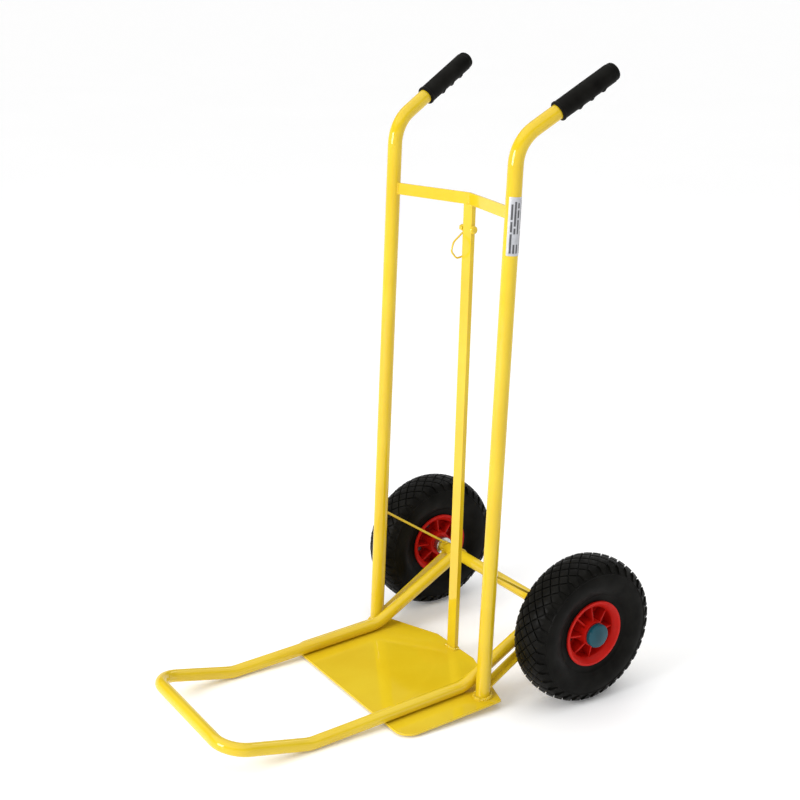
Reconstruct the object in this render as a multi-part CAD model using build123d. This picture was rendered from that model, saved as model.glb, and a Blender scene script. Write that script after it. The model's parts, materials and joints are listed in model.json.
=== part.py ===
"""Hand truck with a folding nose frame, on two pneumatic wheels.

A welded round-tube frame leans back a little from a sloping toe plate. A U-shaped tube, the nose
frame, lies on the plate and turns about the axle tube, so that it folds up between the uprights.
A wire hook on the centre strut keeps it there.

Frame: +Z up, -Y to the front (where the load goes on), +X to the left of a person behind the
handles. The origin is under the middle of the truck's outline, on the floor. Millimetres, degrees.
"""
from build123d import *
import os
from math import asin, atan2, cos, hypot, pi, radians, sin, tan

# ---------------------------------------------------------------- driving dimensions
# Frame
UPRIGHT_SPACING = 340.0      # between the two uprights' centre lines
UPRIGHT_OD = 25.0
UPRIGHT_WALL = 2.0
UPRIGHT_LEAN = 2.0           # backwards, from vertical
BEND_HEIGHT = 951.0          # floor to the corner where upright and handle lines cross
BEND_RADIUS = 66.0
HANDLE_RISE = 32.0           # of the handles, above horizontal
HANDLE_SPLAY = 7.5           # of the handles, outwards
HANDLE_LENGTH = 195.0        # corner to the tube's end
CROSSBAR_HEIGHT = 840.0      # floor to the bar's middle
CROSSBAR_DEPTH = 20.0
CROSSBAR_THICKNESS = 5.0
CROSSBAR_DISH = 42.0         # how far the bar's middle stands behind its ends
CROSSBAR_BEND = 15.0
STRUT_WIDTH = 24.0
STRUT_THICKNESS = 8.0

# Toe plate
PLATE_SLOPE = 3.0            # down towards the front
PLATE_PAST_LEFT = 30.0       # left upright's centre line to the plate's left edge
PLATE_PAST_RIGHT = 14.0      # the same on the right, where the flap is narrower
PLATE_FRONT = 180.0          # uprights to the front edge, along the plate
PLATE_SIDE_BACK = 18.0       # uprights to the side edges' rear ends
PLATE_BACK = 64.0            # uprights to the middle of the rear edge
PLATE_BACK_WIDTH = 112.0
PLATE_THICKNESS = 4.0
PLATE_CORNER = 30.0
PLATE_REAR_CORNER = 5.0
STRUT_FOOT_INSET = 7.0       # strut's centre line, in from the plate's rear edge

# Nose frame
NOSE_OD = 22.0
NOSE_WALL = 2.0
NOSE_INSET = 30.0            # its arms' centre lines, inside the uprights'
NOSE_REACH = 321.0           # uprights to the kink, along the plate
NOSE_TIP = 145.0             # kink to the front bar, along the plate
NOSE_TIP_RISE = 41.0
NOSE_TURN_UP = 18.0          # uprights to the corner where the arms turn up, forwards
NOSE_TURN_RADIUS = 60.0
NOSE_KINK_RADIUS = 70.0
NOSE_CORNER_RADIUS = 42.0
NOSE_GAP = 0.3               # arms above the plate
SLEEVE_WALL = 2.5
SLEEVE_LENGTH = 30.0
PIVOT_CLEARANCE = 0.05       # radial, sleeves round the axle tube

# Axle, side struts and stays
AXLE_BEHIND = 163.0          # uprights' foot to the axle
AXLE_OD = 16.0
AXLE_CHAMFER = 1.0
AXLE_TUBE_CLEARANCE = 0.1    # radial, axle tube round the axle
AXLE_TUBE_WALL = 2.9
AXLE_TUBE_PAST = 11.0        # uprights' centre lines to the axle tube's ends
ANGLE_LEG = 12.0
ANGLE_THICKNESS = 3.0
ANGLE_FOOT_RISE = 13.0       # plate to the side strut's centre line, at the upright
STAY_OD = 4.5
STAY_HEIGHT = 243.0

# Wheels
WHEEL_OD = 260.0
TYRE_WIDTH = 80.0
TYRE_SHOULDER_WIDTH = 58.0   # across the tread's two rounded edges
TYRE_SHOULDER_DROP = 6.4     # tread's middle to its edges, in radius
TYRE_WALL = 7.0
TREAD_WALL = 9.0
BEAD_WIDTH = 8.0
BEAD_HEIGHT = 3.0            # bead seat to the bottom of the air space
TUBE_WALL = 2.0
TUBE_CLEARANCE = 0.2         # inner tube inside the tyre
RIM_WIDTH = 66.0
RIM_OD = 117.0
BEAD_SEAT_OD = 100.0
RIM_WALL = 4.0
RIM_LIP = 4.0                # lip's thickness
RIM_LIP_FACE = 4.5           # flat ring of the lip that shows from outside
RIM_DISH = 9.0               # rim's edge to where the barrel's inside starts
RIM_DRAFT = 1.0              # taper of the moulded hub, barrel and rim edge
WEB_THICKNESS = 5.0
HUB_OD = 46.0
HUB_LENGTH = 68.0
HUB_BORE_CLEARANCE = 1.0     # radial, moulded hub round the axle
RIB_COUNT = 8
RIB_THICKNESS = 3.0
RIB_BELOW_HUB = 6.0          # hub's end to the ribs' edge
RIB_BELOW_RIM = 11.0         # rim's edge to the ribs' edge
RIB_ROOT = 1.0               # how far ribs run into the web, hub and barrel
BEARING_OD = 28.0
BEARING_SEAT = 14.0
BEARING_COLLAR = 7.7         # inner bearing's part that stands out of the hub
AXLE_CLEARANCE = 0.05        # radial, bearings round the axle
WASHER_OD = 30.0
WASHER_THICKNESS = 2.0
SPACER_OD = 34.0
SPACER_LENGTH = 7.0
SPACER_ROUND = 1.2
END_FLOAT = 0.3              # between a wheel and what holds it on
CAP_OD = 42.0
CAP_HEIGHT = 11.0
CAP_WALL = 1.5
CAP_ROUND = 6.5
CAP_HOLLOW = 4.0
AXLE_IN_CAP = 7.0
RIM_SCREW_COUNT = 4
RIM_SCREW_OD = 5.0
RIM_SCREW_CIRCLE = 68.0
RIM_SCREW_SPARE = 1.0        # thread past the nut
SCREW_HEAD_OD = 9.5
SCREW_HEAD = 3.0
SCREW_HEAD_ROUND = 1.8
RIM_NUT_AF = 8.0
RIM_NUT = 4.0
VALVE_OD = 8.0
VALVE_TO_BEAD = 1.0          # valve's side to the tyre's bead
VALVE_LENGTH = 12.0          # below the rim's barrel
VALVE_CAP_LENGTH = 7.0
VALVE_CAP_OD = 9.0
VALVE_CAP_ROUND = 2.0

# Grips
GRIP_LENGTH = 118.0
GRIP_WALL = 2.5
GRIP_END_ROUND = 6.75
GRIP_COLLAR = 5.0            # collar's length
GRIP_COLLAR_STAND = 1.75     # collar above the grip, all round
GRIP_COLLAR_ROUND = 1.5
GRIP_END = 4.0               # rubber past the tube's end
RIDGE_COUNT = 3
RIDGE_PITCH = 24.0
RIDGE_RADIUS = 7.0
RIDGE_STAND = 2.5            # ridge below the grip

# Latch
LATCH_HEIGHT = 789.0
LATCH_BOLT_OD = 6.0
LATCH_HEAD_OD = 14.0
LATCH_HEAD = 5.0
LATCH_HEAD_ROUND = 3.5
LATCH_NUT_AF = 10.0
LATCH_NUT = 5.0
LATCH_THREAD_SPARE = 1.5
HOOK_WIRE = 3.0
HOOK_CLEARANCE = 0.08        # radial, hook's eye round the bolt
HOOK_SIDE_GAP = 0.4
# The hook's shape, seen from the side: (forward, down) from the bolt
HOOK_POINTS = [(21.0, 22.5), (25.5, 38.0), (14.0, 51.0), (-5.0, 46.5)]
HOOK_RADII = [14.0, 9.0, 8.0]

# Label
LABEL_BOTTOM = 777.0
LABEL_HEIGHT = 91.0
LABEL_WRAP = 145.0           # degrees round the upright
LABEL_TURN = 2.0             # its middle, behind straight out to the side
LABEL_THICKNESS = 0.25

# ---------------------------------------------------------------- derived places
HALF_SPACING = UPRIGHT_SPACING / 2
PLATE_LEFT = HALF_SPACING + PLATE_PAST_LEFT
PLATE_RIGHT = HALF_SPACING + PLATE_PAST_RIGHT
NOSE_HALF = HALF_SPACING - NOSE_INSET
GRIP_OD = UPRIGHT_OD + 2 * GRIP_WALL
AXLE_TUBE_INNER = AXLE_OD / 2 + AXLE_TUBE_CLEARANCE
AXLE_TUBE_OD = 2 * (AXLE_TUBE_INNER + AXLE_TUBE_WALL)
AXLE_TUBE_HALF = HALF_SPACING + AXLE_TUBE_PAST
WHEEL_RADIUS = WHEEL_OD / 2
HUB_START = AXLE_TUBE_HALF + SPACER_LENGTH + END_FLOAT + BEARING_COLLAR
TRACK_HALF = HUB_START + HUB_LENGTH / 2
BEAD_INNER = RIM_WIDTH / 2 - RIM_LIP - BEAD_WIDTH
VALVE_OFFSET = BEAD_INNER - VALVE_TO_BEAD - VALVE_OD / 2
AXLE = Vector(0, AXLE_BEHIND, WHEEL_RADIUS)
NOSE_LIFT = NOSE_OD / 2 + NOSE_GAP
SLEEVE_INNER = AXLE_TUBE_OD / 2 + PIVOT_CLEARANCE
SLEEVE_OUTER = SLEEVE_INNER + SLEEVE_WALL
FAR = 3000.0
PAST = 1.0                   # how far a cutting tool runs past what it cuts

# The plate's top, seen from the side, is a line that meets the floor under the nose frame's kink.
# In this plane local X is across, local Y runs up the slope from there, local Z is off the plate.
DECK = Plane(
    origin=(0, -NOSE_REACH * cos(radians(PLATE_SLOPE)), 0),
    x_dir=(1, 0, 0),
    z_dir=(0, -sin(radians(PLATE_SLOPE)), cos(radians(PLATE_SLOPE))),
)


def on_deck(across, behind, above):
    """Point at these distances from the uprights' foot line, measured along and off the plate."""
    return DECK.from_local_coords(Vector(across, NOSE_REACH + behind, above))


FOOT = on_deck(0, 0, 0)


def upright_y(height):
    """Y of the uprights' centre lines at this height."""
    return FOOT.Y + (height - FOOT.Z) * tan(radians(UPRIGHT_LEAN))


BEND = Vector(HALF_SPACING, upright_y(BEND_HEIGHT), BEND_HEIGHT)
HANDLE = Vector(
    sin(radians(HANDLE_SPLAY)),
    cos(radians(HANDLE_SPLAY)) * cos(radians(HANDLE_RISE)),
    cos(radians(HANDLE_SPLAY)) * sin(radians(HANDLE_RISE)),
)
HANDLE_END = BEND + HANDLE * HANDLE_LENGTH
GRIP_START = BEND + HANDLE * (HANDLE_LENGTH + GRIP_END - GRIP_LENGTH)

CROSSBAR_VERTEX_Y = upright_y(CROSSBAR_HEIGHT) + CROSSBAR_DISH
STRUT_FOOT = on_deck(0, PLATE_BACK - STRUT_FOOT_INSET, 0)
STRUT_TOP = Vector(0, CROSSBAR_VERTEX_Y, CROSSBAR_HEIGHT - CROSSBAR_DEPTH / 2)


def strut_y(height):
    """Y of the centre strut's centre line at this height."""
    share = (height - STRUT_FOOT.Z) / (STRUT_TOP.Z - STRUT_FOOT.Z)
    return STRUT_FOOT.Y + share * (STRUT_TOP.Y - STRUT_FOOT.Y)


LATCH = Vector(0, strut_y(LATCH_HEIGHT), LATCH_HEIGHT)
NOSE_FRONT = on_deck(0, -NOSE_REACH - NOSE_TIP, NOSE_LIFT + NOSE_TIP_RISE)

# The built frame has its Y zero at the uprights' feet. The whole truck moves by this to centre it.
CENTRE_SHIFT = -(NOSE_FRONT.Y - NOSE_OD / 2 + AXLE.Y + WHEEL_RADIUS) / 2


# ---------------------------------------------------------------- small helpers
def rod_along(path, diameter):
    """Solid round bar that follows a path."""
    section = Plane(origin=path @ 0, z_dir=path % 0) * Circle(diameter / 2)
    return sweep(section, path=path)


def straight_rod(start, end, diameter):
    """Solid round bar between two points."""
    return rod_along(Line(start, end), diameter)


def cross_cylinder(radius, x_from, x_to, centre=Vector(0, 0, 0)):
    """Cylinder along X between two X values."""
    face = Plane(origin=(x_from, centre.Y, centre.Z), z_dir=(1, 0, 0)) * Circle(radius)
    return extrude(face, x_to - x_from)


def cross_ring(outer, inner, x_from, x_to, centre=Vector(0, 0, 0)):
    """Ring along X between two X values."""
    hole = cross_cylinder(inner, x_from - PAST, x_to + PAST, centre)
    return cross_cylinder(outer, x_from, x_to, centre) - hole


def hexagon_bar(across_flats, x_from, x_to, centre=Vector(0, 0, 0)):
    """Hexagonal bar along X between two X values."""
    hexagon = RegularPolygon(across_flats / 2, 6, major_radius=False)
    face = Plane(origin=(x_from, centre.Y, centre.Z), z_dir=(1, 0, 0)) * hexagon
    return extrude(face, x_to - x_from)


def below_deck():
    """Everything under the plate's top, as one large block."""
    return DECK * Pos(0, 0, -FAR / 4) * Box(FAR, FAR, FAR / 2)


def mirrored(shape):
    """The same piece on the other side of the truck."""
    return mirror(shape, about=Plane.YZ)


# ---------------------------------------------------------------- frame
def upright_path():
    """Centre line of the left upright and handle."""
    start = Vector(HALF_SPACING, upright_y(-UPRIGHT_OD), -UPRIGHT_OD)
    return FilletPolyline(start, BEND, HANDLE_END, radius=BEND_RADIUS)


def make_upright_core():
    """The left upright as if solid, down to the plate."""
    return rod_along(upright_path(), UPRIGHT_OD) - below_deck()


def make_upright(core):
    """Left upright: a bent tube, open at both ends."""
    return core - rod_along(upright_path(), UPRIGHT_OD - 2 * UPRIGHT_WALL)


def make_grip():
    """Left grip: a closed rubber sleeve with a collar and finger ridges underneath."""
    grip_plane = Plane(origin=GRIP_START, x_dir=(1, 0, 0), z_dir=HANDLE)
    r_body = GRIP_OD / 2
    body = Pos(0, 0, GRIP_LENGTH / 2) * Cylinder(r_body, GRIP_LENGTH)
    body = fillet(body.edges().sort_by(Axis.Z)[-1], GRIP_END_ROUND)
    collar = Pos(0, 0, GRIP_COLLAR / 2) * Cylinder(r_body + GRIP_COLLAR_STAND, GRIP_COLLAR)
    body += fillet(collar.edges().filter_by(GeomType.CIRCLE), GRIP_COLLAR_ROUND)
    for i in range(RIDGE_COUNT):
        along = GRIP_LENGTH / 2 + (i - (RIDGE_COUNT - 1) / 2) * RIDGE_PITCH
        below = r_body + RIDGE_STAND - RIDGE_RADIUS
        body += Pos(0, below, along) * Rot(0, 90, 0) * Cylinder(RIDGE_RADIUS, r_body)
    bore_length = GRIP_LENGTH - GRIP_END
    bore = Pos(0, 0, bore_length / 2) * Cylinder(UPRIGHT_OD / 2, bore_length)
    return grip_plane * (body - bore)


def make_crossbar(core):
    """Flat bar bent to a V in plan, fitted against the uprights."""
    end = Vector(HALF_SPACING, upright_y(CROSSBAR_HEIGHT), CROSSBAR_HEIGHT)
    middle = Vector(0, CROSSBAR_VERTEX_Y, CROSSBAR_HEIGHT)
    path = FilletPolyline(end, middle, Vector(-end.X, end.Y, end.Z), radius=CROSSBAR_BEND)
    section_plane = Plane(origin=path @ 0, x_dir=(0, 0, 1), z_dir=path % 0)
    bar = sweep(section_plane * Rectangle(CROSSBAR_DEPTH, CROSSBAR_THICKNESS), path=path)
    keep = Pos(0, middle.Y, CROSSBAR_HEIGHT) * Box(UPRIGHT_SPACING, FAR, FAR)
    return (bar & keep) - core - mirrored(core)


def make_centre_strut():
    """Flat bar from the plate's rear edge up to the crossbar, drilled for the latch bolt."""
    axis = (STRUT_TOP - STRUT_FOOT).normalized()
    length = (STRUT_TOP - STRUT_FOOT).length
    section_plane = Plane(origin=STRUT_FOOT - axis * UPRIGHT_OD, x_dir=(1, 0, 0), z_dir=axis)
    bar = extrude(section_plane * Rectangle(STRUT_WIDTH, STRUT_THICKNESS), length + 2 * UPRIGHT_OD)
    bar -= below_deck()
    bar -= Pos(0, STRUT_TOP.Y, STRUT_TOP.Z + FAR / 4) * Box(FAR, FAR, FAR / 2)
    return bar - cross_cylinder(LATCH_BOLT_OD / 2, -STRUT_WIDTH, STRUT_WIDTH, LATCH)


def make_toe_plate():
    """Flat plate with rounded front corners, narrower behind the uprights."""
    front = NOSE_REACH - PLATE_FRONT
    side_back = NOSE_REACH + PLATE_SIDE_BACK
    back = NOSE_REACH + PLATE_BACK
    half_back = PLATE_BACK_WIDTH / 2
    outline = Polyline(
        (-PLATE_RIGHT, front),
        (PLATE_LEFT, front),
        (PLATE_LEFT, side_back),
        (half_back, back),
        (-half_back, back),
        (-PLATE_RIGHT, side_back),
        (-PLATE_RIGHT, front),
    )
    face = make_face(outline)
    corners = face.vertices().sort_by(Axis.Y)
    face = fillet(corners[:2], PLATE_CORNER)
    face = fillet(face.vertices().sort_by(Axis.Y)[-4:], PLATE_REAR_CORNER)
    return DECK * extrude(face, -PLATE_THICKNESS)


def side_strut_line():
    """Centre line of the left side strut, from the upright's axis to the axle's axis."""
    behind = UPRIGHT_OD / 2
    start = on_deck(HALF_SPACING, 0, ANGLE_FOOT_RISE)
    end = Vector(HALF_SPACING, AXLE.Y, AXLE.Z)
    reach = (end - start).normalized()
    return start - reach * behind, end + reach * behind


def make_side_strut(core, axle_core):
    """Left side strut: angle bar from the upright's foot to the axle tube, flange outwards."""
    start, end = side_strut_line()
    leg, wall = ANGLE_LEG, ANGLE_THICKNESS
    section = Polyline((0, 0), (leg, 0), (leg, wall), (wall, wall), (wall, leg), (0, leg), (0, 0))
    plane = Plane(origin=start, x_dir=(1, 0, 0), z_dir=(end - start))
    up = -1 if plane.y_dir.Z < 0 else 1
    face = plane * Pos(-leg / 2, -up * leg / 2, 0) * scale(make_face(section), (1, up, 1))
    bar = extrude(face, (end - start).length, dir=(end - start).normalized())
    return keep_between(bar, core, axle_core)


def make_stay(core, axle_core):
    """Left stay: thin rod from the upright's back to the axle tube's top."""
    start = Vector(HALF_SPACING, upright_y(STAY_HEIGHT), STAY_HEIGHT)
    end = Vector(HALF_SPACING, AXLE.Y, AXLE.Z + (AXLE_TUBE_OD - STAY_OD) / 2)
    return keep_between(straight_rod(start, end, STAY_OD), core, axle_core)


def keep_between(bar, core, axle_core):
    """What is left of a bar between the upright and the axle tube."""
    rest = bar - core - axle_core
    return max(rest.solids(), key=lambda piece: piece.volume)


def make_label():
    """Thin film wrapped part of the way round the left upright."""
    axis_low = Vector(HALF_SPACING, upright_y(LABEL_BOTTOM), LABEL_BOTTOM)
    axis_dir = Vector(0, sin(radians(UPRIGHT_LEAN)), cos(radians(UPRIGHT_LEAN)))
    tube = UPRIGHT_OD / 2
    ring = Circle(tube + LABEL_THICKNESS) - Circle(tube)
    reach = 2 * UPRIGHT_OD
    half_wrap = LABEL_WRAP / 2
    edge = [(reach * cos(radians(a)), reach * sin(radians(a))) for a in (-half_wrap, 0, half_wrap)]
    wedge = make_face(Polyline((0, 0), *edge, (0, 0)))
    place = Plane(origin=axis_low, x_dir=(1, 0, 0), z_dir=axis_dir) * Rot(0, 0, LABEL_TURN)
    return extrude(place * (ring & wedge), LABEL_HEIGHT)


# ---------------------------------------------------------------- axle
def make_axle_core():
    """The axle tube as if solid."""
    return cross_cylinder(AXLE_TUBE_OD / 2, -AXLE_TUBE_HALF, AXLE_TUBE_HALF, AXLE)


def make_axle_tube(axle_core):
    """Tube that spans the frame, with the axle inside."""
    return axle_core - cross_cylinder(AXLE_TUBE_INNER, -2 * AXLE_TUBE_HALF, 2 * AXLE_TUBE_HALF, AXLE)


def hub_end():
    """X of the left hub's outer end."""
    return TRACK_HALF + HUB_LENGTH / 2


def cap_start():
    """X where the left cap starts, past the outer washer."""
    return hub_end() + END_FLOAT + WASHER_THICKNESS


def make_axle():
    """Solid axle through both wheels, ending inside the caps."""
    half = cap_start() + AXLE_IN_CAP
    bar = cross_cylinder(AXLE_OD / 2, -half, half, AXLE)
    return chamfer(bar.edges().filter_by(GeomType.CIRCLE), AXLE_CHAMFER)


def make_washer():
    """Left washer, between the hub and the cap."""
    start = cap_start() - WASHER_THICKNESS
    return cross_ring(WASHER_OD / 2, AXLE_OD / 2, start, cap_start(), AXLE)


def make_spacer():
    """Left spacer, between the axle tube and the wheel's inner bearing."""
    end = AXLE_TUBE_HALF + SPACER_LENGTH
    ring = cross_ring(SPACER_OD / 2, AXLE_OD / 2, AXLE_TUBE_HALF, end, AXLE)
    rims = ring.edges().filter_by(GeomType.CIRCLE).sort_by(lambda edge: edge.radius)[-2:]
    return fillet(rims, SPACER_ROUND)


def make_cap():
    """Left push-on cap: a hollow dome on the axle's end."""
    start = cap_start()
    radius = CAP_OD / 2
    dome = cross_cylinder(radius, start, start + CAP_HEIGHT, AXLE)
    dome = fillet(dome.edges().sort_by(Axis.X)[-1], CAP_ROUND)
    hollow = cross_ring(radius - CAP_WALL, AXLE_OD / 2 + CAP_WALL, start - PAST, start + CAP_HOLLOW, AXLE)
    socket = cross_cylinder(AXLE_OD / 2, start - PAST, start + AXLE_IN_CAP, AXLE)
    return dome - hollow - socket


# ---------------------------------------------------------------- nose frame
def nose_path():
    """Centre line of the nose frame, from the left sleeve round the front to the right one."""
    half = NOSE_HALF
    side = [
        Vector(half, AXLE.Y, AXLE.Z),
        on_deck(half, -NOSE_TURN_UP, NOSE_LIFT),
        on_deck(half, -NOSE_REACH, NOSE_LIFT),
        on_deck(half, -NOSE_REACH - NOSE_TIP, NOSE_LIFT + NOSE_TIP_RISE),
    ]
    other = [Vector(-p.X, p.Y, p.Z) for p in reversed(side)]
    radii = [NOSE_TURN_RADIUS, NOSE_KINK_RADIUS, NOSE_CORNER_RADIUS]
    return FilletPolyline(*side, *other, radius=radii + radii[::-1])


def make_nose_loop():
    """U-shaped tube, its two ends fitted against the pivot sleeves."""
    path = nose_path()
    tube = rod_along(path, NOSE_OD) - rod_along(path, NOSE_OD - 2 * NOSE_WALL)
    return tube - cross_cylinder(SLEEVE_OUTER, -FAR / 4, FAR / 4, AXLE)


def make_sleeve():
    """Left pivot sleeve, which turns on the axle tube."""
    low = NOSE_HALF - SLEEVE_LENGTH / 2
    return cross_ring(SLEEVE_OUTER, SLEEVE_INNER, low, low + SLEEVE_LENGTH, AXLE)


# ---------------------------------------------------------------- wheel, about the origin, outer side +X
def tyre_cavity(shrink):
    """Section of the air space, in X and radius."""
    flat_half = TYRE_WIDTH / 2 - TYRE_WALL - shrink
    low, high = BEAD_SEAT_OD / 2 + BEAD_HEIGHT + shrink, WHEEL_RADIUS - TREAD_WALL - shrink
    return Pos(0, (low + high) / 2) * Ellipse(flat_half, (high - low) / 2)


def make_tyre():
    """Tyre: rounded tread, bulging side walls and a bead on each side of the rim."""
    seat = BEAD_SEAT_OD / 2
    lip = RIM_OD / 2
    bead = RIM_WIDTH / 2 - RIM_LIP
    shoulder = TYRE_SHOULDER_WIDTH / 2
    shoulder_radius = WHEEL_RADIUS - TYRE_SHOULDER_DROP
    bulge_radius = (lip + shoulder_radius) / 2
    outline = [
        ThreePointArc((bead, lip), (TYRE_WIDTH / 2, bulge_radius), (shoulder, shoulder_radius)),
        ThreePointArc((shoulder, shoulder_radius), (0, WHEEL_RADIUS), (-shoulder, shoulder_radius)),
        ThreePointArc((-shoulder, shoulder_radius), (-TYRE_WIDTH / 2, bulge_radius), (-bead, lip)),
        Polyline((-bead, lip), (-bead, seat), (bead, seat), (bead, lip)),
    ]
    section = make_face(Wire([edge for curve in outline for edge in curve.edges()]))
    mouth = Pos(0, seat) * Rectangle(2 * BEAD_INNER, WHEEL_RADIUS - seat)
    return revolve(section - tyre_cavity(0) - mouth, axis=Axis.X)


def make_inner_tube():
    """Inner tube: a hollow ring of air behind the tyre's wall."""
    return revolve(tyre_cavity(TUBE_CLEARANCE) - tyre_cavity(TUBE_CLEARANCE + TUBE_WALL), axis=Axis.X)


def rim_screw_angles():
    """Angles of the rim screws, each between two ribs."""
    rib_pitch = 360 / RIB_COUNT
    return [rib_pitch / 2 + 360 / RIM_SCREW_COUNT * i for i in range(RIM_SCREW_COUNT)]


def round_x(shape, angle):
    """The shape turned about X."""
    return Rot(angle, 0, 0) * shape


def rim_section():
    """Section of one rim half, in X and radius: web, barrel, lip and hub."""
    half = RIM_WIDTH / 2
    lip = RIM_OD / 2
    seat = BEAD_SEAT_OD / 2
    barrel = seat - RIM_WALL
    hub = HUB_OD / 2
    hub_half = HUB_LENGTH / 2
    bore = AXLE_OD / 2 + HUB_BORE_CLEARANCE
    return make_face(Polyline(
        (0, bore),
        (0, seat),
        (half - RIM_LIP, seat),
        (half - RIM_LIP, lip),
        (half, lip),
        (half, lip - RIM_LIP_FACE),
        (half - RIM_LIP - RIM_DRAFT, seat - RIM_DRAFT),
        (half - RIM_DISH, barrel),
        (WEB_THICKNESS, barrel - 2 * RIM_DRAFT),
        (WEB_THICKNESS, hub + RIM_DRAFT),
        (hub_half, hub - RIM_DRAFT),
        (hub_half, bore),
        (0, bore),
    ))


def make_rib():
    """One rib between the hub and the barrel, standing on the web."""
    foot = WEB_THICKNESS - RIB_ROOT
    low = HUB_OD / 2 - RIM_DRAFT - RIB_ROOT
    high = BEAD_SEAT_OD / 2 - RIM_WALL + RIB_ROOT
    hub_side = HUB_LENGTH / 2 - RIB_BELOW_HUB
    rim_side = RIM_WIDTH / 2 - RIB_BELOW_RIM
    outline = Polyline((foot, low), (hub_side, low), (rim_side, high), (foot, high), (foot, low))
    return extrude(make_face(outline), RIB_THICKNESS / 2, both=True)


def make_rim_half():
    """Outer half of the moulded rim, with its ribs, bearing seat and screw holes."""
    hub_half = HUB_LENGTH / 2
    body = revolve(rim_section(), axis=Axis.X)
    body -= cross_cylinder(BEARING_OD / 2, hub_half - BEARING_SEAT, hub_half + PAST)
    rib = make_rib()
    for i in range(RIB_COUNT):
        body += round_x(rib, 360 / RIB_COUNT * i)
    hole = Pos(0, RIM_SCREW_CIRCLE / 2, 0) * cross_cylinder(RIM_SCREW_OD / 2, -HUB_LENGTH, HUB_LENGTH)
    for angle in rim_screw_angles():
        body -= round_x(hole, angle)
    return body


def valve_angle():
    """Angle of the valve, between two ribs with no screw."""
    return -360 / RIB_COUNT / 2


def make_rim_outer():
    """Outer rim half, with the valve's hole in its barrel."""
    hole = Pos(VALVE_OFFSET, BEAD_SEAT_OD / 2, 0) * Rot(90, 0, 0) * Cylinder(VALVE_OD / 2, 4 * RIM_WALL)
    return make_rim_half() - round_x(hole, valve_angle())


def make_rim_inner():
    """Inner rim half: the same moulding turned to face the truck."""
    return mirror(make_rim_half(), about=Plane.YZ)


def make_outer_bearing():
    """Roller bearing flush in the hub's outer end."""
    end = HUB_LENGTH / 2
    return cross_ring(BEARING_OD / 2, AXLE_OD / 2 + AXLE_CLEARANCE, end - BEARING_SEAT, end)


def make_inner_bearing():
    """Roller bearing in the hub's inner end, with a collar that stands out of it."""
    end = HUB_LENGTH / 2
    return cross_ring(BEARING_OD / 2, AXLE_OD / 2 + AXLE_CLEARANCE, -end - BEARING_COLLAR, -end + BEARING_SEAT)


def make_rim_screws():
    """Button-head screws through both webs, heads outside."""
    head = cross_cylinder(SCREW_HEAD_OD / 2, WEB_THICKNESS, WEB_THICKNESS + SCREW_HEAD)
    head = fillet(head.edges().sort_by(Axis.X)[-1], SCREW_HEAD_ROUND)
    end = -WEB_THICKNESS - RIM_NUT - RIM_SCREW_SPARE
    screw = head + cross_cylinder(RIM_SCREW_OD / 2, end, WEB_THICKNESS)
    screw = Pos(0, RIM_SCREW_CIRCLE / 2, 0) * screw
    return Compound(children=[round_x(screw, angle) for angle in rim_screw_angles()])


def make_rim_nuts():
    """Hexagon nuts on the screws, inside."""
    nut = hexagon_bar(RIM_NUT_AF, -WEB_THICKNESS - RIM_NUT, -WEB_THICKNESS)
    nut -= cross_cylinder(RIM_SCREW_OD / 2, -WEB_THICKNESS - 2 * RIM_NUT, 0)
    nut = Pos(0, RIM_SCREW_CIRCLE / 2, 0) * nut
    return Compound(children=[round_x(nut, angle) for angle in rim_screw_angles()])


def make_valve():
    """Valve stem from the bead seat inwards, and its cap, as two solids."""
    seat = BEAD_SEAT_OD / 2
    bottom = seat - RIM_WALL - VALVE_LENGTH
    stem = Rot(90, 0, 0) * Cylinder(VALVE_OD / 2, seat - bottom)
    stem = Pos(VALVE_OFFSET, (seat + bottom) / 2, 0) * stem
    cap = Rot(90, 0, 0) * Cylinder(VALVE_CAP_OD / 2, VALVE_CAP_LENGTH)
    cap = Pos(VALVE_OFFSET, bottom - VALVE_CAP_LENGTH / 2, 0) * cap
    cap = fillet(cap.edges().sort_by(Axis.Y)[0], VALVE_CAP_ROUND)
    return round_x(stem, valve_angle()), round_x(cap, valve_angle())


def wheel_pieces():
    """Every piece of one wheel, about its own centre."""
    stem, cap = make_valve()
    return {
        "tyre": make_tyre(),
        "inner_tube": make_inner_tube(),
        "rim_outer": make_rim_outer(),
        "rim_inner": make_rim_inner(),
        "bearing_outer": make_outer_bearing(),
        "bearing_inner": make_inner_bearing(),
        "rim_screws": make_rim_screws(),
        "rim_nuts": make_rim_nuts(),
        "valve_stem": stem,
        "valve_cap": cap,
    }


# ---------------------------------------------------------------- latch
def hook_x():
    """X of the hook's wire: on the strut's right side."""
    return -STRUT_WIDTH / 2 - HOOK_SIDE_GAP - HOOK_WIRE / 2


def nut_x():
    """X of the latch nut's face towards the hook."""
    return hook_x() - HOOK_WIRE / 2 - HOOK_SIDE_GAP


def make_latch_bolt():
    """Bolt across the strut, with a domed head on the left."""
    face = STRUT_WIDTH / 2
    head = cross_cylinder(LATCH_HEAD_OD / 2, face, face + LATCH_HEAD, LATCH)
    head = fillet(head.edges().sort_by(Axis.X)[-1], LATCH_HEAD_ROUND)
    end = nut_x() - LATCH_NUT - LATCH_THREAD_SPARE
    return head + cross_cylinder(LATCH_BOLT_OD / 2, end, face, LATCH)


def make_latch_nut():
    """Hexagon nut that keeps the hook on the bolt."""
    nut = hexagon_bar(LATCH_NUT_AF, nut_x() - LATCH_NUT, nut_x(), LATCH)
    return nut - cross_cylinder(LATCH_BOLT_OD / 2, nut_x() - 2 * LATCH_NUT, nut_x() + PAST, LATCH)


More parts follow.
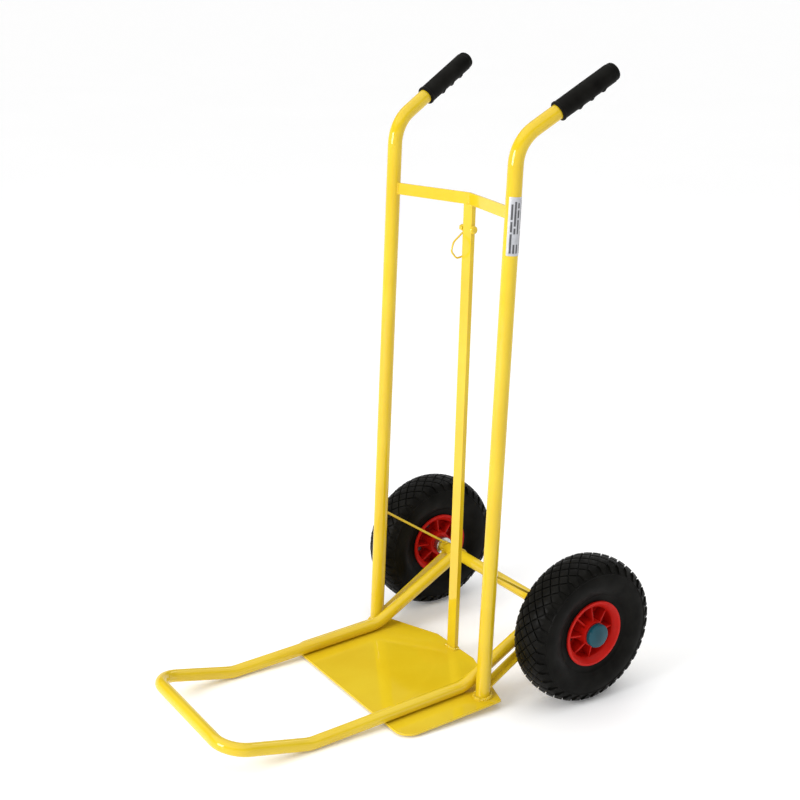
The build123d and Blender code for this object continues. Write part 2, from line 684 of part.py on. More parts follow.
def make_latch_hook():
    """Wire hook: an eye round the bolt and a bow that hangs in front of the strut."""
    x = hook_x()
    eye = LATCH_BOLT_OD / 2 + HOOK_CLEARANCE + HOOK_WIRE / 2
    forward, down = HOOK_POINTS[0]
    slope = atan2(-down, -forward) + asin(eye / hypot(forward, down)) + pi / 2
    start = Vector(x, LATCH.Y + eye * cos(slope), LATCH.Z + eye * sin(slope))
    points = [Vector(x, LATCH.Y - f, LATCH.Z - d) for f, d in HOOK_POINTS]
    bow = rod_along(FilletPolyline(start, *points, radius=HOOK_RADII), HOOK_WIRE)
    ring = Pos(x, LATCH.Y, LATCH.Z) * Rot(0, 90, 0) * Torus(eye, HOOK_WIRE / 2)
    hole = cross_cylinder(LATCH_BOLT_OD / 2 + HOOK_CLEARANCE, -FAR / 4, FAR / 4, LATCH)
    return bow + ring - hole


# ---------------------------------------------------------------- assembly
def all_nodes():
    """Every node by name, in the built frame."""
    core = make_upright_core()
    axle_core = make_axle_core()
    nodes = {
        "toe_plate": make_toe_plate(),
        "crossbar": make_crossbar(core),
        "centre_strut": make_centre_strut(),
        "axle_tube": make_axle_tube(axle_core),
        "axle": make_axle(),
        "latch_bolt": make_latch_bolt(),
        "latch_nut": make_latch_nut(),
        "latch_hook": make_latch_hook(),
        "nose_loop": make_nose_loop(),
        "label": make_label(),
    }
    left_pieces = {
        "upright": make_upright(core),
        "grip": make_grip(),
        "side_strut": make_side_strut(core, axle_core),
        "stay": make_stay(core, axle_core),
        "axle_spacer": make_spacer(),
        "axle_washer": make_washer(),
        "axle_cap": make_cap(),
        "pivot_sleeve": make_sleeve(),
    }
    wheel_place = Pos(TRACK_HALF, AXLE.Y, AXLE.Z)
    left_pieces |= {name: wheel_place * piece for name, piece in wheel_pieces().items()}
    for name, piece in left_pieces.items():
        nodes[f"{name}_left"] = piece
        nodes[f"{name}_right"] = mirrored(piece)
    return nodes


os.makedirs("parts", exist_ok=True)
for node_name, shape in all_nodes().items():
    export_step(Pos(0, CENTRE_SHIFT, 0) * shape, f"parts/{node_name}.step")
print(f"centre shift {CENTRE_SHIFT:.3f}, axle y {AXLE.Y + CENTRE_SHIFT:.3f} z {AXLE.Z:.3f}")
print(f"latch y {LATCH.Y + CENTRE_SHIFT:.3f} z {LATCH.Z:.3f}")
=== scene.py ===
"""Visible model of a folding hand truck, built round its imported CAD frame.

Every length is in metres and every angle in radians, in the frame of the CAD: +Z up, -Y to the front,
+X to the left of a person behind the handles, the origin on the floor.
"""
import json
import logging
from collections.abc import Sequence
from dataclasses import dataclass, field
from enum import Enum
from math import atan2, cos, exp, hypot, pi, radians, sin, sqrt, tan

import bmesh
import bpy
from bpy.types import Material, Mesh, Node, NodeSocket, Object
from mathutils import Matrix, Vector


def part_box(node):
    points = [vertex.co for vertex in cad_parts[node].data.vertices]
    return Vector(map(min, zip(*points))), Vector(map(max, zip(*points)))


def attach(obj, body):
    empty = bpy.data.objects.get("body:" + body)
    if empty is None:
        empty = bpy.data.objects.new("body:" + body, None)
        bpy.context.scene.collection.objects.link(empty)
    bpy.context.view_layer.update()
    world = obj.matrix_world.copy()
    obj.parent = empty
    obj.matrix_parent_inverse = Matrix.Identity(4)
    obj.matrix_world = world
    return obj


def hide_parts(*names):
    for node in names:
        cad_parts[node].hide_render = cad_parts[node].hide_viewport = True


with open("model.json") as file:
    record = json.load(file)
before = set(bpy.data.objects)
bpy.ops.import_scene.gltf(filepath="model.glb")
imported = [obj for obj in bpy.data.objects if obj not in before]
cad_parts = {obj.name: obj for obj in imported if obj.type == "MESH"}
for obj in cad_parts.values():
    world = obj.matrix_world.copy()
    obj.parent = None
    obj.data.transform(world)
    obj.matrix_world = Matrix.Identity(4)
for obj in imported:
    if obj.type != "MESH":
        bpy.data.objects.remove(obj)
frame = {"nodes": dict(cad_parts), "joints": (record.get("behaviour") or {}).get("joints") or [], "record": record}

LOG = logging.getLogger("hand_truck")
MM = 0.001
FRAME_BODY = "frame"
NOSE_BODY = "nose_frame"
MERGE_GAP = 0.01 * MM
NOISE_SPAN = (0.35, 0.65)  # values between which nearly all of a noise lies
CORNER_SHARE = 0.45  # most of an edge that a rounded corner may take
Point2 = tuple[float, float]


class Slot(Enum):
    """The material slots of the record."""

    PAINT = "yellow_paint"
    ZINC = "zinc_steel"
    BLACK = "black_steel"
    RED = "red_plastic"
    TYRE = "tyre_rubber"
    GRIP = "grip_rubber"
    VALVE = "valve_rubber"
    TEAL = "teal_plastic"
    FILM = "label_film"


class Side(Enum):
    """The two sides of the truck, each with the sign of its X."""

    LEFT = 1
    RIGHT = -1

    @property
    def word(self) -> str:
        """The side's name, as CAD nodes end in it."""
        return self.name.lower()

    @property
    def wheel(self) -> str:
        """The body of this side's wheel."""
        return f"{self.word}_wheel"


# ---------------------------------------------------------------- places shared by many pieces
@dataclass(frozen=True)
class Plan:
    """Where the welded frame's centre lines run, as in the CAD."""

    axle: Vector
    half_spacing: float = 170 * MM
    axle_behind: float = 163 * MM
    slope: float = radians(3)
    lean: float = radians(2)
    kink_reach: float = 321 * MM
    upright_radius: float = 12.5 * MM
    nose_half: float = 140 * MM
    nose_radius: float = 11 * MM
    nose_lift: float = 11.3 * MM
    nose_turn_up: float = 18 * MM
    sleeve_radius: float = 13.55 * MM
    axle_tube_radius: float = 11 * MM
    strut_foot_behind: float = 57 * MM
    strut_size: Point2 = (24 * MM, 8 * MM)
    crossbar_height: float = 840 * MM
    crossbar_dish: float = 42 * MM
    crossbar_size: Point2 = (5 * MM, 20 * MM)
    stay_height: float = 243 * MM
    stay_radius: float = 2.25 * MM
    angle_leg: float = 12 * MM
    angle_rise: float = 13 * MM
    bend_height: float = 951 * MM
    handle_rise: float = radians(32)
    handle_splay: float = radians(7.5)
    handle_length: float = 199 * MM

    @property
    def foot(self) -> Vector:
        """Middle of the line on the plate's top where the uprights stand."""
        return Vector((0, self.axle.y - self.axle_behind, self.kink_reach * sin(self.slope)))

    def deck(self, across: float, behind: float, above: float) -> Vector:
        """A point measured from the uprights' foot line, along and off the plate.

        Args:
            across: Distance to the left.
            behind: Distance to the rear, along the plate.
            above: Distance off the plate's top.

        Returns:
            The point in the truck's frame.
        """
        along = Vector((0, cos(self.slope), sin(self.slope)))
        off = Vector((0, -sin(self.slope), cos(self.slope)))
        return self.foot + Vector((across, 0, 0)) + along * behind + off * above

    def upright(self, side: Side, height: float) -> Vector:
        """Point on an upright's centre line at a height."""
        behind = (height - self.foot.z) * tan(self.lean)
        return Vector((side.value * self.half_spacing, self.foot.y + behind, height))

    def handle(self, side: Side) -> Vector:
        """Direction of a handle, outwards and up.

        Args:
            side: The truck's side.

        Returns:
            The direction, one long.
        """
        flat = cos(self.handle_splay)
        across = side.value * sin(self.handle_splay)
        return Vector((across, flat * cos(self.handle_rise), flat * sin(self.handle_rise)))

    def crossbar_middle(self) -> Vector:
        """Centre of the crossbar at its bend."""
        end = self.upright(Side.LEFT, self.crossbar_height)
        return Vector((0, end.y + self.crossbar_dish, self.crossbar_height))


# ---------------------------------------------------------------- node trees
class NodeSketch:
    """A node tree that is built one node at a time."""

    def __init__(self, tree: bpy.types.NodeTree) -> None:
        """Keeps the tree that nodes are added to."""
        self.tree = tree

    def node(self, kind: str, inputs: dict | None = None, **settings: object) -> Node:
        """Adds a node.

        Args:
            kind: The node's type name.
            inputs: A value, or a socket to link, for each input by name or number.
            **settings: Properties of the node itself.

        Returns:
            The new node.
        """
        made = self.tree.nodes.new(kind)
        for name, value in settings.items():
            setattr(made, name, value)
        for key, value in (inputs or {}).items():
            if isinstance(value, NodeSocket):
                self.tree.links.new(value, made.inputs[key])
            else:
                made.inputs[key].default_value = value
        return made

    def math(self, operation: str, *values: object) -> NodeSocket:
        """Adds a maths node and returns its result."""
        return self.node("ShaderNodeMath", dict(enumerate(values)), operation=operation).outputs[0]


class GeometryTree(NodeSketch):
    """A geometry node tree with named inputs, which ends in a plain mesh with one material."""

    def __init__(self, name: str, inputs: dict[str, str]) -> None:
        """Starts the tree.

        Args:
            name: The tree's name.
            inputs: Socket type of each named input.
        """
        super().__init__(bpy.data.node_groups.new(name, "GeometryNodeTree"))
        sockets = self.tree.interface
        sockets.new_socket("Geometry", in_out="INPUT", socket_type="NodeSocketGeometry")
        for label, kind in (inputs | {"Material": "NodeSocketMaterial"}).items():
            sockets.new_socket(label, in_out="INPUT", socket_type=kind)
        sockets.new_socket("Geometry", in_out="OUTPUT", socket_type="NodeSocketGeometry")
        self.source = self.node("NodeGroupInput").outputs

    def close(self, geometry: NodeSocket) -> None:
        """Ends the tree with real faces and its material.

        Args:
            geometry: The socket that holds the finished shape.
        """
        real = self.node("GeometryNodeRealizeInstances", {"Geometry": geometry})
        dressed = self.node(
            "GeometryNodeSetMaterial",
            {"Geometry": real.outputs["Geometry"], "Material": self.source["Material"]},
        )
        self.node("NodeGroupOutput", {"Geometry": dressed.outputs["Geometry"]})

    def run(self, piece: Object, **values: object) -> None:
        """Runs the tree on a piece and keeps the result as its plain mesh.

        Args:
            piece: The object whose mesh goes in.
            **values: The named inputs, with spaces as underscores.
        """
        modifier = piece.modifiers.new(self.tree.name, "NODES")
        modifier.node_group = self.tree
        for item in self.tree.interface.items_tree:
            key = item.name.replace(" ", "_")
            if item.in_out == "INPUT" and key in values:
                modifier[item.identifier] = values[key]
        depsgraph = bpy.context.evaluated_depsgraph_get()
        result = bpy.data.meshes.new_from_object(piece.evaluated_get(depsgraph), depsgraph=depsgraph)
        piece.modifiers.remove(modifier)
        piece.data = result


def ring_array_tree() -> GeometryTree:
    """Copies of the input turned about X, evenly round a full turn.

    Returns:
        The tree, with inputs for the count and the first copy's angle.
    """
    tree = GeometryTree("Ring array", {"Count": "NodeSocketInt", "Start": "NodeSocketFloat"})
    points = tree.node("GeometryNodePoints", {"Count": tree.source["Count"]})
    index = tree.node("GeometryNodeInputIndex").outputs["Index"]
    share = tree.math("DIVIDE", index, tree.source["Count"])
    angle = tree.math("ADD", tree.math("MULTIPLY", share, 2 * pi), tree.source["Start"])
    turn = tree.node("ShaderNodeCombineXYZ", {"X": angle})
    copies = tree.node(
        "GeometryNodeInstanceOnPoints",
        {
            "Points": points.outputs[0],
            "Instance": tree.source["Geometry"],
            "Rotation": turn.outputs[0],
        },
    )
    tree.close(copies.outputs["Instances"])
    return tree


def weld_tree() -> GeometryTree:
    """A rippled bead along every edge line of the input, as thick as its point attribute says.

    Returns:
        The tree, with inputs for the bead's step, ripple, wander and seed.
    """
    tree = GeometryTree(
        "Weld bead",
        {
            "Step": "NodeSocketFloat",
            "Ripple Pitch": "NodeSocketFloat",
            "Ripple Depth": "NodeSocketFloat",
            "Wander": "NodeSocketFloat",
            "Seed": "NodeSocketFloat",
        },
    )
    lines = tree.node("GeometryNodeMeshToCurve", {"Mesh": tree.source["Geometry"]})
    fine = tree.node(
        "GeometryNodeResampleCurve",
        {"Curve": lines.outputs[0], "Length": tree.source["Step"]},
        mode="LENGTH",
    )
    along = tree.node("GeometryNodeSplineParameter").outputs["Length"]
    phase = tree.math("MULTIPLY", tree.math("DIVIDE", along, tree.source["Ripple Pitch"]), pi)
    hollow = tree.math("SUBTRACT", 1.0, tree.math("ABSOLUTE", tree.math("SINE", phase)))
    cut = tree.math("SUBTRACT", 1.0, tree.math("MULTIPLY", hollow, tree.source["Ripple Depth"]))
    bead = tree.node("GeometryNodeInputNamedAttribute", {"Name": Welds.ATTRIBUTE}, data_type="FLOAT")
    radius = tree.math("MULTIPLY", bead.outputs["Attribute"], cut)
    noise = tree.node(
        "ShaderNodeTexNoise",
        {"Scale": Welds.WANDER_SCALE, "W": tree.source["Seed"]},
        noise_dimensions="4D",
    )
    centred = tree.node(
        "ShaderNodeVectorMath", {0: noise.outputs["Color"], 1: (0.5, 0.5, 0.5)}, operation="SUBTRACT"
    )
    shift = tree.node(
        "ShaderNodeVectorMath", {0: centred.outputs[0], "Scale": tree.source["Wander"]}, operation="SCALE"
    )
    moved = tree.node(
        "GeometryNodeSetPosition", {"Geometry": fine.outputs[0], "Offset": shift.outputs[0]}
    )
    section = tree.node("GeometryNodeCurvePrimitiveCircle", {"Resolution": Welds.SECTION_SIDES})
    tube = tree.node(
        "GeometryNodeCurveToMesh",
        {
            "Curve": moved.outputs[0],
            "Profile Curve": section.outputs[0],
            "Scale": radius,
            "Fill Caps": True,
        },
    )
    smooth = tree.node("GeometryNodeSetShadeSmooth", {"Geometry": tube.outputs[0]})
    tree.close(smooth.outputs[0])
    return tree


# ---------------------------------------------------------------- finishes
class Shader(NodeSketch):
    """A material's node tree, with the inputs that most finishes share."""

    def __init__(self, name: str) -> None:
        """Starts a material with one principled shader.

        Args:
            name: The material's name.
        """
        self.material = bpy.data.materials.new(name)
        self.material.use_nodes = True
        super().__init__(self.material.node_tree)
        self.bsdf = self.tree.nodes["Principled BSDF"]
        self.place = self.node("ShaderNodeTexCoord").outputs["Object"]

    def noise(self, scale: float, detail: float = 2.0) -> NodeSocket:
        """Noise over the piece.

        Args:
            scale: Waves in a metre.
            detail: Octaves.

        Returns:
            The noise value.
        """
        made = self.node("ShaderNodeTexNoise", {"Vector": self.place, "Scale": scale, "Detail": detail})
        return made.outputs["Fac"]

    def blend(self, value: NodeSocket, low: Sequence[float], high: Sequence[float], span: Point2) -> None:
        """Colours the surface between two tones.

        Args:
            value: What picks the tone.
            low: Colour at the low end.
            high: Colour at the high end.
            span: The two values that the ends stand at.
        """
        share = self.node(
            "ShaderNodeMapRange", {"Value": value, "From Min": span[0], "From Max": span[1]}
        )
        mix = self.node(
            "ShaderNodeMix",
            {0: share.outputs[0], 6: (*low, 1), 7: (*high, 1)},
            data_type="RGBA",
        )
        self.tree.links.new(mix.outputs[2], self.bsdf.inputs["Base Color"])

    def roughen(self, value: NodeSocket, low: float, high: float) -> None:
        """Varies the roughness between two values.

        Args:
            value: Noise from 0 to 1.
            low: Roughness where the noise is low.
            high: Roughness where it is high.
        """
        made = self.node(
            "ShaderNodeMapRange",
            {
                "Value": value,
                "From Min": NOISE_SPAN[0],
                "From Max": NOISE_SPAN[1],
                "To Min": low,
                "To Max": high,
            },
        )
        self.tree.links.new(made.outputs[0], self.bsdf.inputs["Roughness"])

    def raise_by(self, height: NodeSocket, depth: float, strength: float = 1.0) -> None:
        """Bumps the surface.

        Args:
            height: Noise from 0 to 1.
            depth: Height that the whole range of the noise stands for.
            strength: Share of the bump that shows.
        """
        bump = self.node(
            "ShaderNodeBump", {"Height": height, "Distance": depth, "Strength": strength}
        )
        self.tree.links.new(bump.outputs[0], self.bsdf.inputs["Normal"])

    def set(self, **values: object) -> None:
        """Sets the shader's own sockets, with spaces as underscores."""
        for name, value in values.items():
            self.bsdf.inputs[name.replace("_", " ")].default_value = value


@dataclass(frozen=True)
class PaintFinish:
    """Glossy powder coat: a faint orange peel and slightly uneven cover."""

    name: str = "yellow powder coat"
    thin: tuple[float, float, float] = (0.68, 0.465, 0.011)
    full: tuple[float, float, float] = (0.715, 0.515, 0.018)
    roughness: Point2 = (0.035, 0.075)
    cover_scale: float = 9.0
    peel_scale: float = 420.0
    peel_depth: float = 0.005 * MM
    peel_detail: float = 1.0
    cover_detail: float = 4.0
    gloss_scale: float = 27.0
    ior: float = 1.5

    def build(self) -> Material:
        """Makes the material.

        Returns:
            The material.
        """
        shader = Shader(self.name)
        cover = shader.noise(self.cover_scale, self.cover_detail)
        shader.blend(cover, self.thin, self.full, NOISE_SPAN)
        shader.roughen(shader.noise(self.gloss_scale), *self.roughness)
        shader.raise_by(shader.noise(self.peel_scale, self.peel_detail), self.peel_depth)
        shader.set(IOR=self.ior)
        return shader.material


@dataclass(frozen=True)
class PlasticFinish:
    """Moulded plastic with a fine spark-eroded grain."""

    name: str
    dark: tuple[float, float, float]
    light: tuple[float, float, float]
    roughness: Point2 = (0.30, 0.42)
    gloss: float = 0.3
    grain_scale: float = 900.0
    grain_depth: float = 0.02 * MM
    cloud_scale: float = 25.0
    cloud_detail: float = 3.0
    gloss_scale: float = 60.0
    ior: float = 1.48

    def build(self) -> Material:
        """Makes the material.

        Returns:
            The material.
        """
        shader = Shader(self.name)
        cloud = shader.noise(self.cloud_scale, self.cloud_detail)
        shader.blend(cloud, self.dark, self.light, NOISE_SPAN)
        shader.roughen(shader.noise(self.gloss_scale), *self.roughness)
        shader.raise_by(shader.noise(self.grain_scale), self.grain_depth)
        shader.set(IOR=self.ior, Specular_IOR_Level=self.gloss)
        return shader.material


@dataclass(frozen=True)
class RubberFinish:
    """Moulded rubber, dull, with a bloom of paler dust."""

    name: str
    dark: tuple[float, float, float] = (0.0035, 0.0033, 0.0028)
    light: tuple[float, float, float] = (0.0085, 0.0082, 0.0070)
    roughness: Point2 = (0.34, 0.50)
    gloss: float = 0.05
    grain_scale: float = 600.0
    grain_depth: float = 0.05 * MM
    grain_detail: float = 4.0
    cloud_scale: float = 38.0
    cloud_detail: float = 5.0
    cloud_span: Point2 = (0.30, 0.70)
    dust_scale: float = 80.0
    dust_detail: float = 3.0
    ior: float = 1.5

    def build(self) -> Material:
        """Makes the material.

        Returns:
            The material.
        """
        shader = Shader(self.name)
        cloud = shader.noise(self.cloud_scale, self.cloud_detail)
        shader.blend(cloud, self.dark, self.light, self.cloud_span)
        shader.roughen(shader.noise(self.dust_scale, self.dust_detail), *self.roughness)
        shader.raise_by(shader.noise(self.grain_scale, self.grain_detail), self.grain_depth)
        shader.set(IOR=self.ior, Specular_IOR_Level=self.gloss)
        return shader.material


@dataclass(frozen=True)
class MetalFinish:
    """Plated steel: soft patches of a crystalline grey."""

    name: str = "zinc plate"
    dark: tuple[float, float, float] = (0.42, 0.43, 0.43)
    light: tuple[float, float, float] = (0.68, 0.68, 0.66)
    roughness: Point2 = (0.22, 0.38)
    cloud_scale: float = 160.0
    cloud_detail: float = 4.0
    cloud_span: Point2 = (0.3, 0.7)
    gloss_scale: float = 240.0
    grain_scale: float = 1500.0
    grain_depth: float = 0.01 * MM

    def build(self) -> Material:
        """Makes the material.

        Returns:
            The material.
        """
        shader = Shader(self.name)
        cloud = shader.noise(self.cloud_scale, self.cloud_detail)
        shader.blend(cloud, self.dark, self.light, self.cloud_span)
        shader.roughen(shader.noise(self.gloss_scale), *self.roughness)
        shader.raise_by(shader.noise(self.grain_scale), self.grain_depth)
        shader.set(Metallic=1.0)
        return shader.material


@dataclass(frozen=True)
class FilmFinish:
    """Silvered or printed plastic film."""

    name: str
    dark: tuple[float, float, float]
    light: tuple[float, float, float]
    metallic: float = 0.0
    roughness: Point2 = (0.28, 0.40)
    cloud_scale: float = 120.0
    cloud_detail: float = 3.0
    gloss_scale: float = 200.0
    grain_scale: float = 500.0
    grain_depth: float = 0.01 * MM

    def build(self) -> Material:
        """Makes the material.

        Returns:
            The material.
        """
        shader = Shader(self.name)
        cloud = shader.noise(self.cloud_scale, self.cloud_detail)
        shader.blend(cloud, self.dark, self.light, NOISE_SPAN)
        shader.roughen(shader.noise(self.gloss_scale), *self.roughness)
        shader.raise_by(shader.noise(self.grain_scale), self.grain_depth)
        shader.set(Metallic=self.metallic)
        return shader.material


def build_finishes() -> dict[Slot, Material]:
    """Makes one material for each slot.

    Returns:
        The materials by slot.
    """
    return {
        Slot.PAINT: PaintFinish().build(),
        Slot.ZINC: MetalFinish().build(),
        Slot.BLACK: MetalFinish("blackened steel", (0.05, 0.05, 0.05), (0.11, 0.11, 0.12)).build(),
        Slot.RED: PlasticFinish(
            "red rim plastic", (0.46, 0.007, 0.004), (0.54, 0.011, 0.006), gloss=0.12
        ).build(),
        Slot.TYRE: RubberFinish("tyre rubber").build(),
        Slot.GRIP: RubberFinish("grip rubber", roughness=(0.42, 0.58), grain_scale=420.0).build(),
        Slot.VALVE: RubberFinish("valve rubber").build(),
        Slot.TEAL: PlasticFinish(
            "teal cap plastic", (0.004, 0.050, 0.070), (0.007, 0.074, 0.102), (0.08, 0.14), gloss=0.25
        ).build(),
        Slot.FILM: FilmFinish("silver film", (0.44, 0.45, 0.48), (0.54, 0.55, 0.58), 0.25).build(),
    }


# ---------------------------------------------------------------- mesh helpers
def new_piece(name: str, mesh: Mesh) -> Object:
    """Puts a mesh in the scene as an object at the origin.

    Args:
        name: The object's name.
        mesh: Its mesh.

    Returns:
        The object.
    """
    piece = bpy.data.objects.new(name, mesh)
    bpy.context.scene.collection.objects.link(piece)
    return piece


def mesh_from(name: str, shape: bmesh.types.BMesh, sharp_angle: float = radians(35)) -> Mesh:
    """Turns a finished bmesh into a smooth-shaded mesh that keeps its corners.

    Args:
        name: The mesh's name.
        shape: The bmesh, which is freed.
        sharp_angle: Edges that turn more than this stay sharp.

    Returns:
        The mesh, with faces outwards.
    """
    bmesh.ops.recalc_face_normals(shape, faces=shape.faces)
    mesh = bpy.data.meshes.new(name)
    shape.to_mesh(mesh)
    shape.free()
    mesh.shade_smooth()
    mesh.set_sharp_from_angle(angle=sharp_angle)
    return mesh


def joined(name: str, meshes: Sequence[Mesh]) -> Mesh:
    """One mesh that holds several.

    Args:
        name: The new mesh's name.
        meshes: The meshes to hold.

    Returns:
        The mesh.
    """
    whole = bmesh.new()
    for part in meshes:
        whole.from_mesh(part)
    return mesh_from(name, whole)


def rounded(corners: Sequence[Point2], radius: float, steps: int = 4) -> list[Point2]:
    """A closed outline with its corners rounded.

    Args:
        corners: The outline's corners in order.
        radius: Fillet radius, less where an edge is too short for it.
        steps: Runs in each corner.

    Returns:
        The points of the rounded outline.
    """
    points = []
    count = len(corners)
    for i, corner in enumerate(corners):
        here = Vector(corner)
        before = Vector(corners[i - 1]) - here
        after = Vector(corners[(i + 1) % count]) - here
        half = before.angle(after) / 2
        room = min(CORNER_SHARE * before.length, CORNER_SHARE * after.length)
        reach = min(radius / tan(half), room)
        start = here + before.normalized() * reach
        end = here + after.normalized() * reach
        for step in range(steps + 1):
            t = step / steps
            point = start * (1 - t) ** 2 + here * 2 * t * (1 - t) + end * t**2
            points.append((point.x, point.y))
    return points


def revolved(outline: Sequence[Point2], segments: int) -> bmesh.types.BMesh:
    """A closed outline in X and radius, turned about X.

    Args:
        outline: The points, where a radius of zero is a pole.
        segments: Faces round a turn.

    Returns:
        The solid's bmesh.
    """
    shape = bmesh.new()
    rings = []
    for x, radius in outline:
        if radius < MERGE_GAP:
            rings.append([shape.verts.new((x, 0, 0))] * segments)
            continue
        angles = [2 * pi * i / segments for i in range(segments)]
        rings.append([shape.verts.new((x, radius * cos(a), radius * sin(a))) for a in angles])
    for low, high in zip(rings, rings[1:] + rings[:1]):
        for i in range(segments):
            j = (i + 1) % segments
            corners = list(dict.fromkeys((low[i], low[j], high[j], high[i])))
            if len(corners) > 2:
                shape.faces.new(corners)
    return shape


def fit_out(
    piece: Object, material: Material, body: str, stands_for: Sequence[str] = ()
) -> None:
    """Gives a piece its finish and its body, and hides what it stands for.

    Args:
        piece: The piece.
        material: Its material.
        body: The CAD body that it moves with.
        stands_for: CAD nodes that it replaces.
    """
    if not piece.data.materials:
        piece.data.materials.append(material)
    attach(piece, body)
    if stands_for:
        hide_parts(*stands_for)
    LOG.info("%s: %d faces on %s", piece.name, len(piece.data.polygons), body)


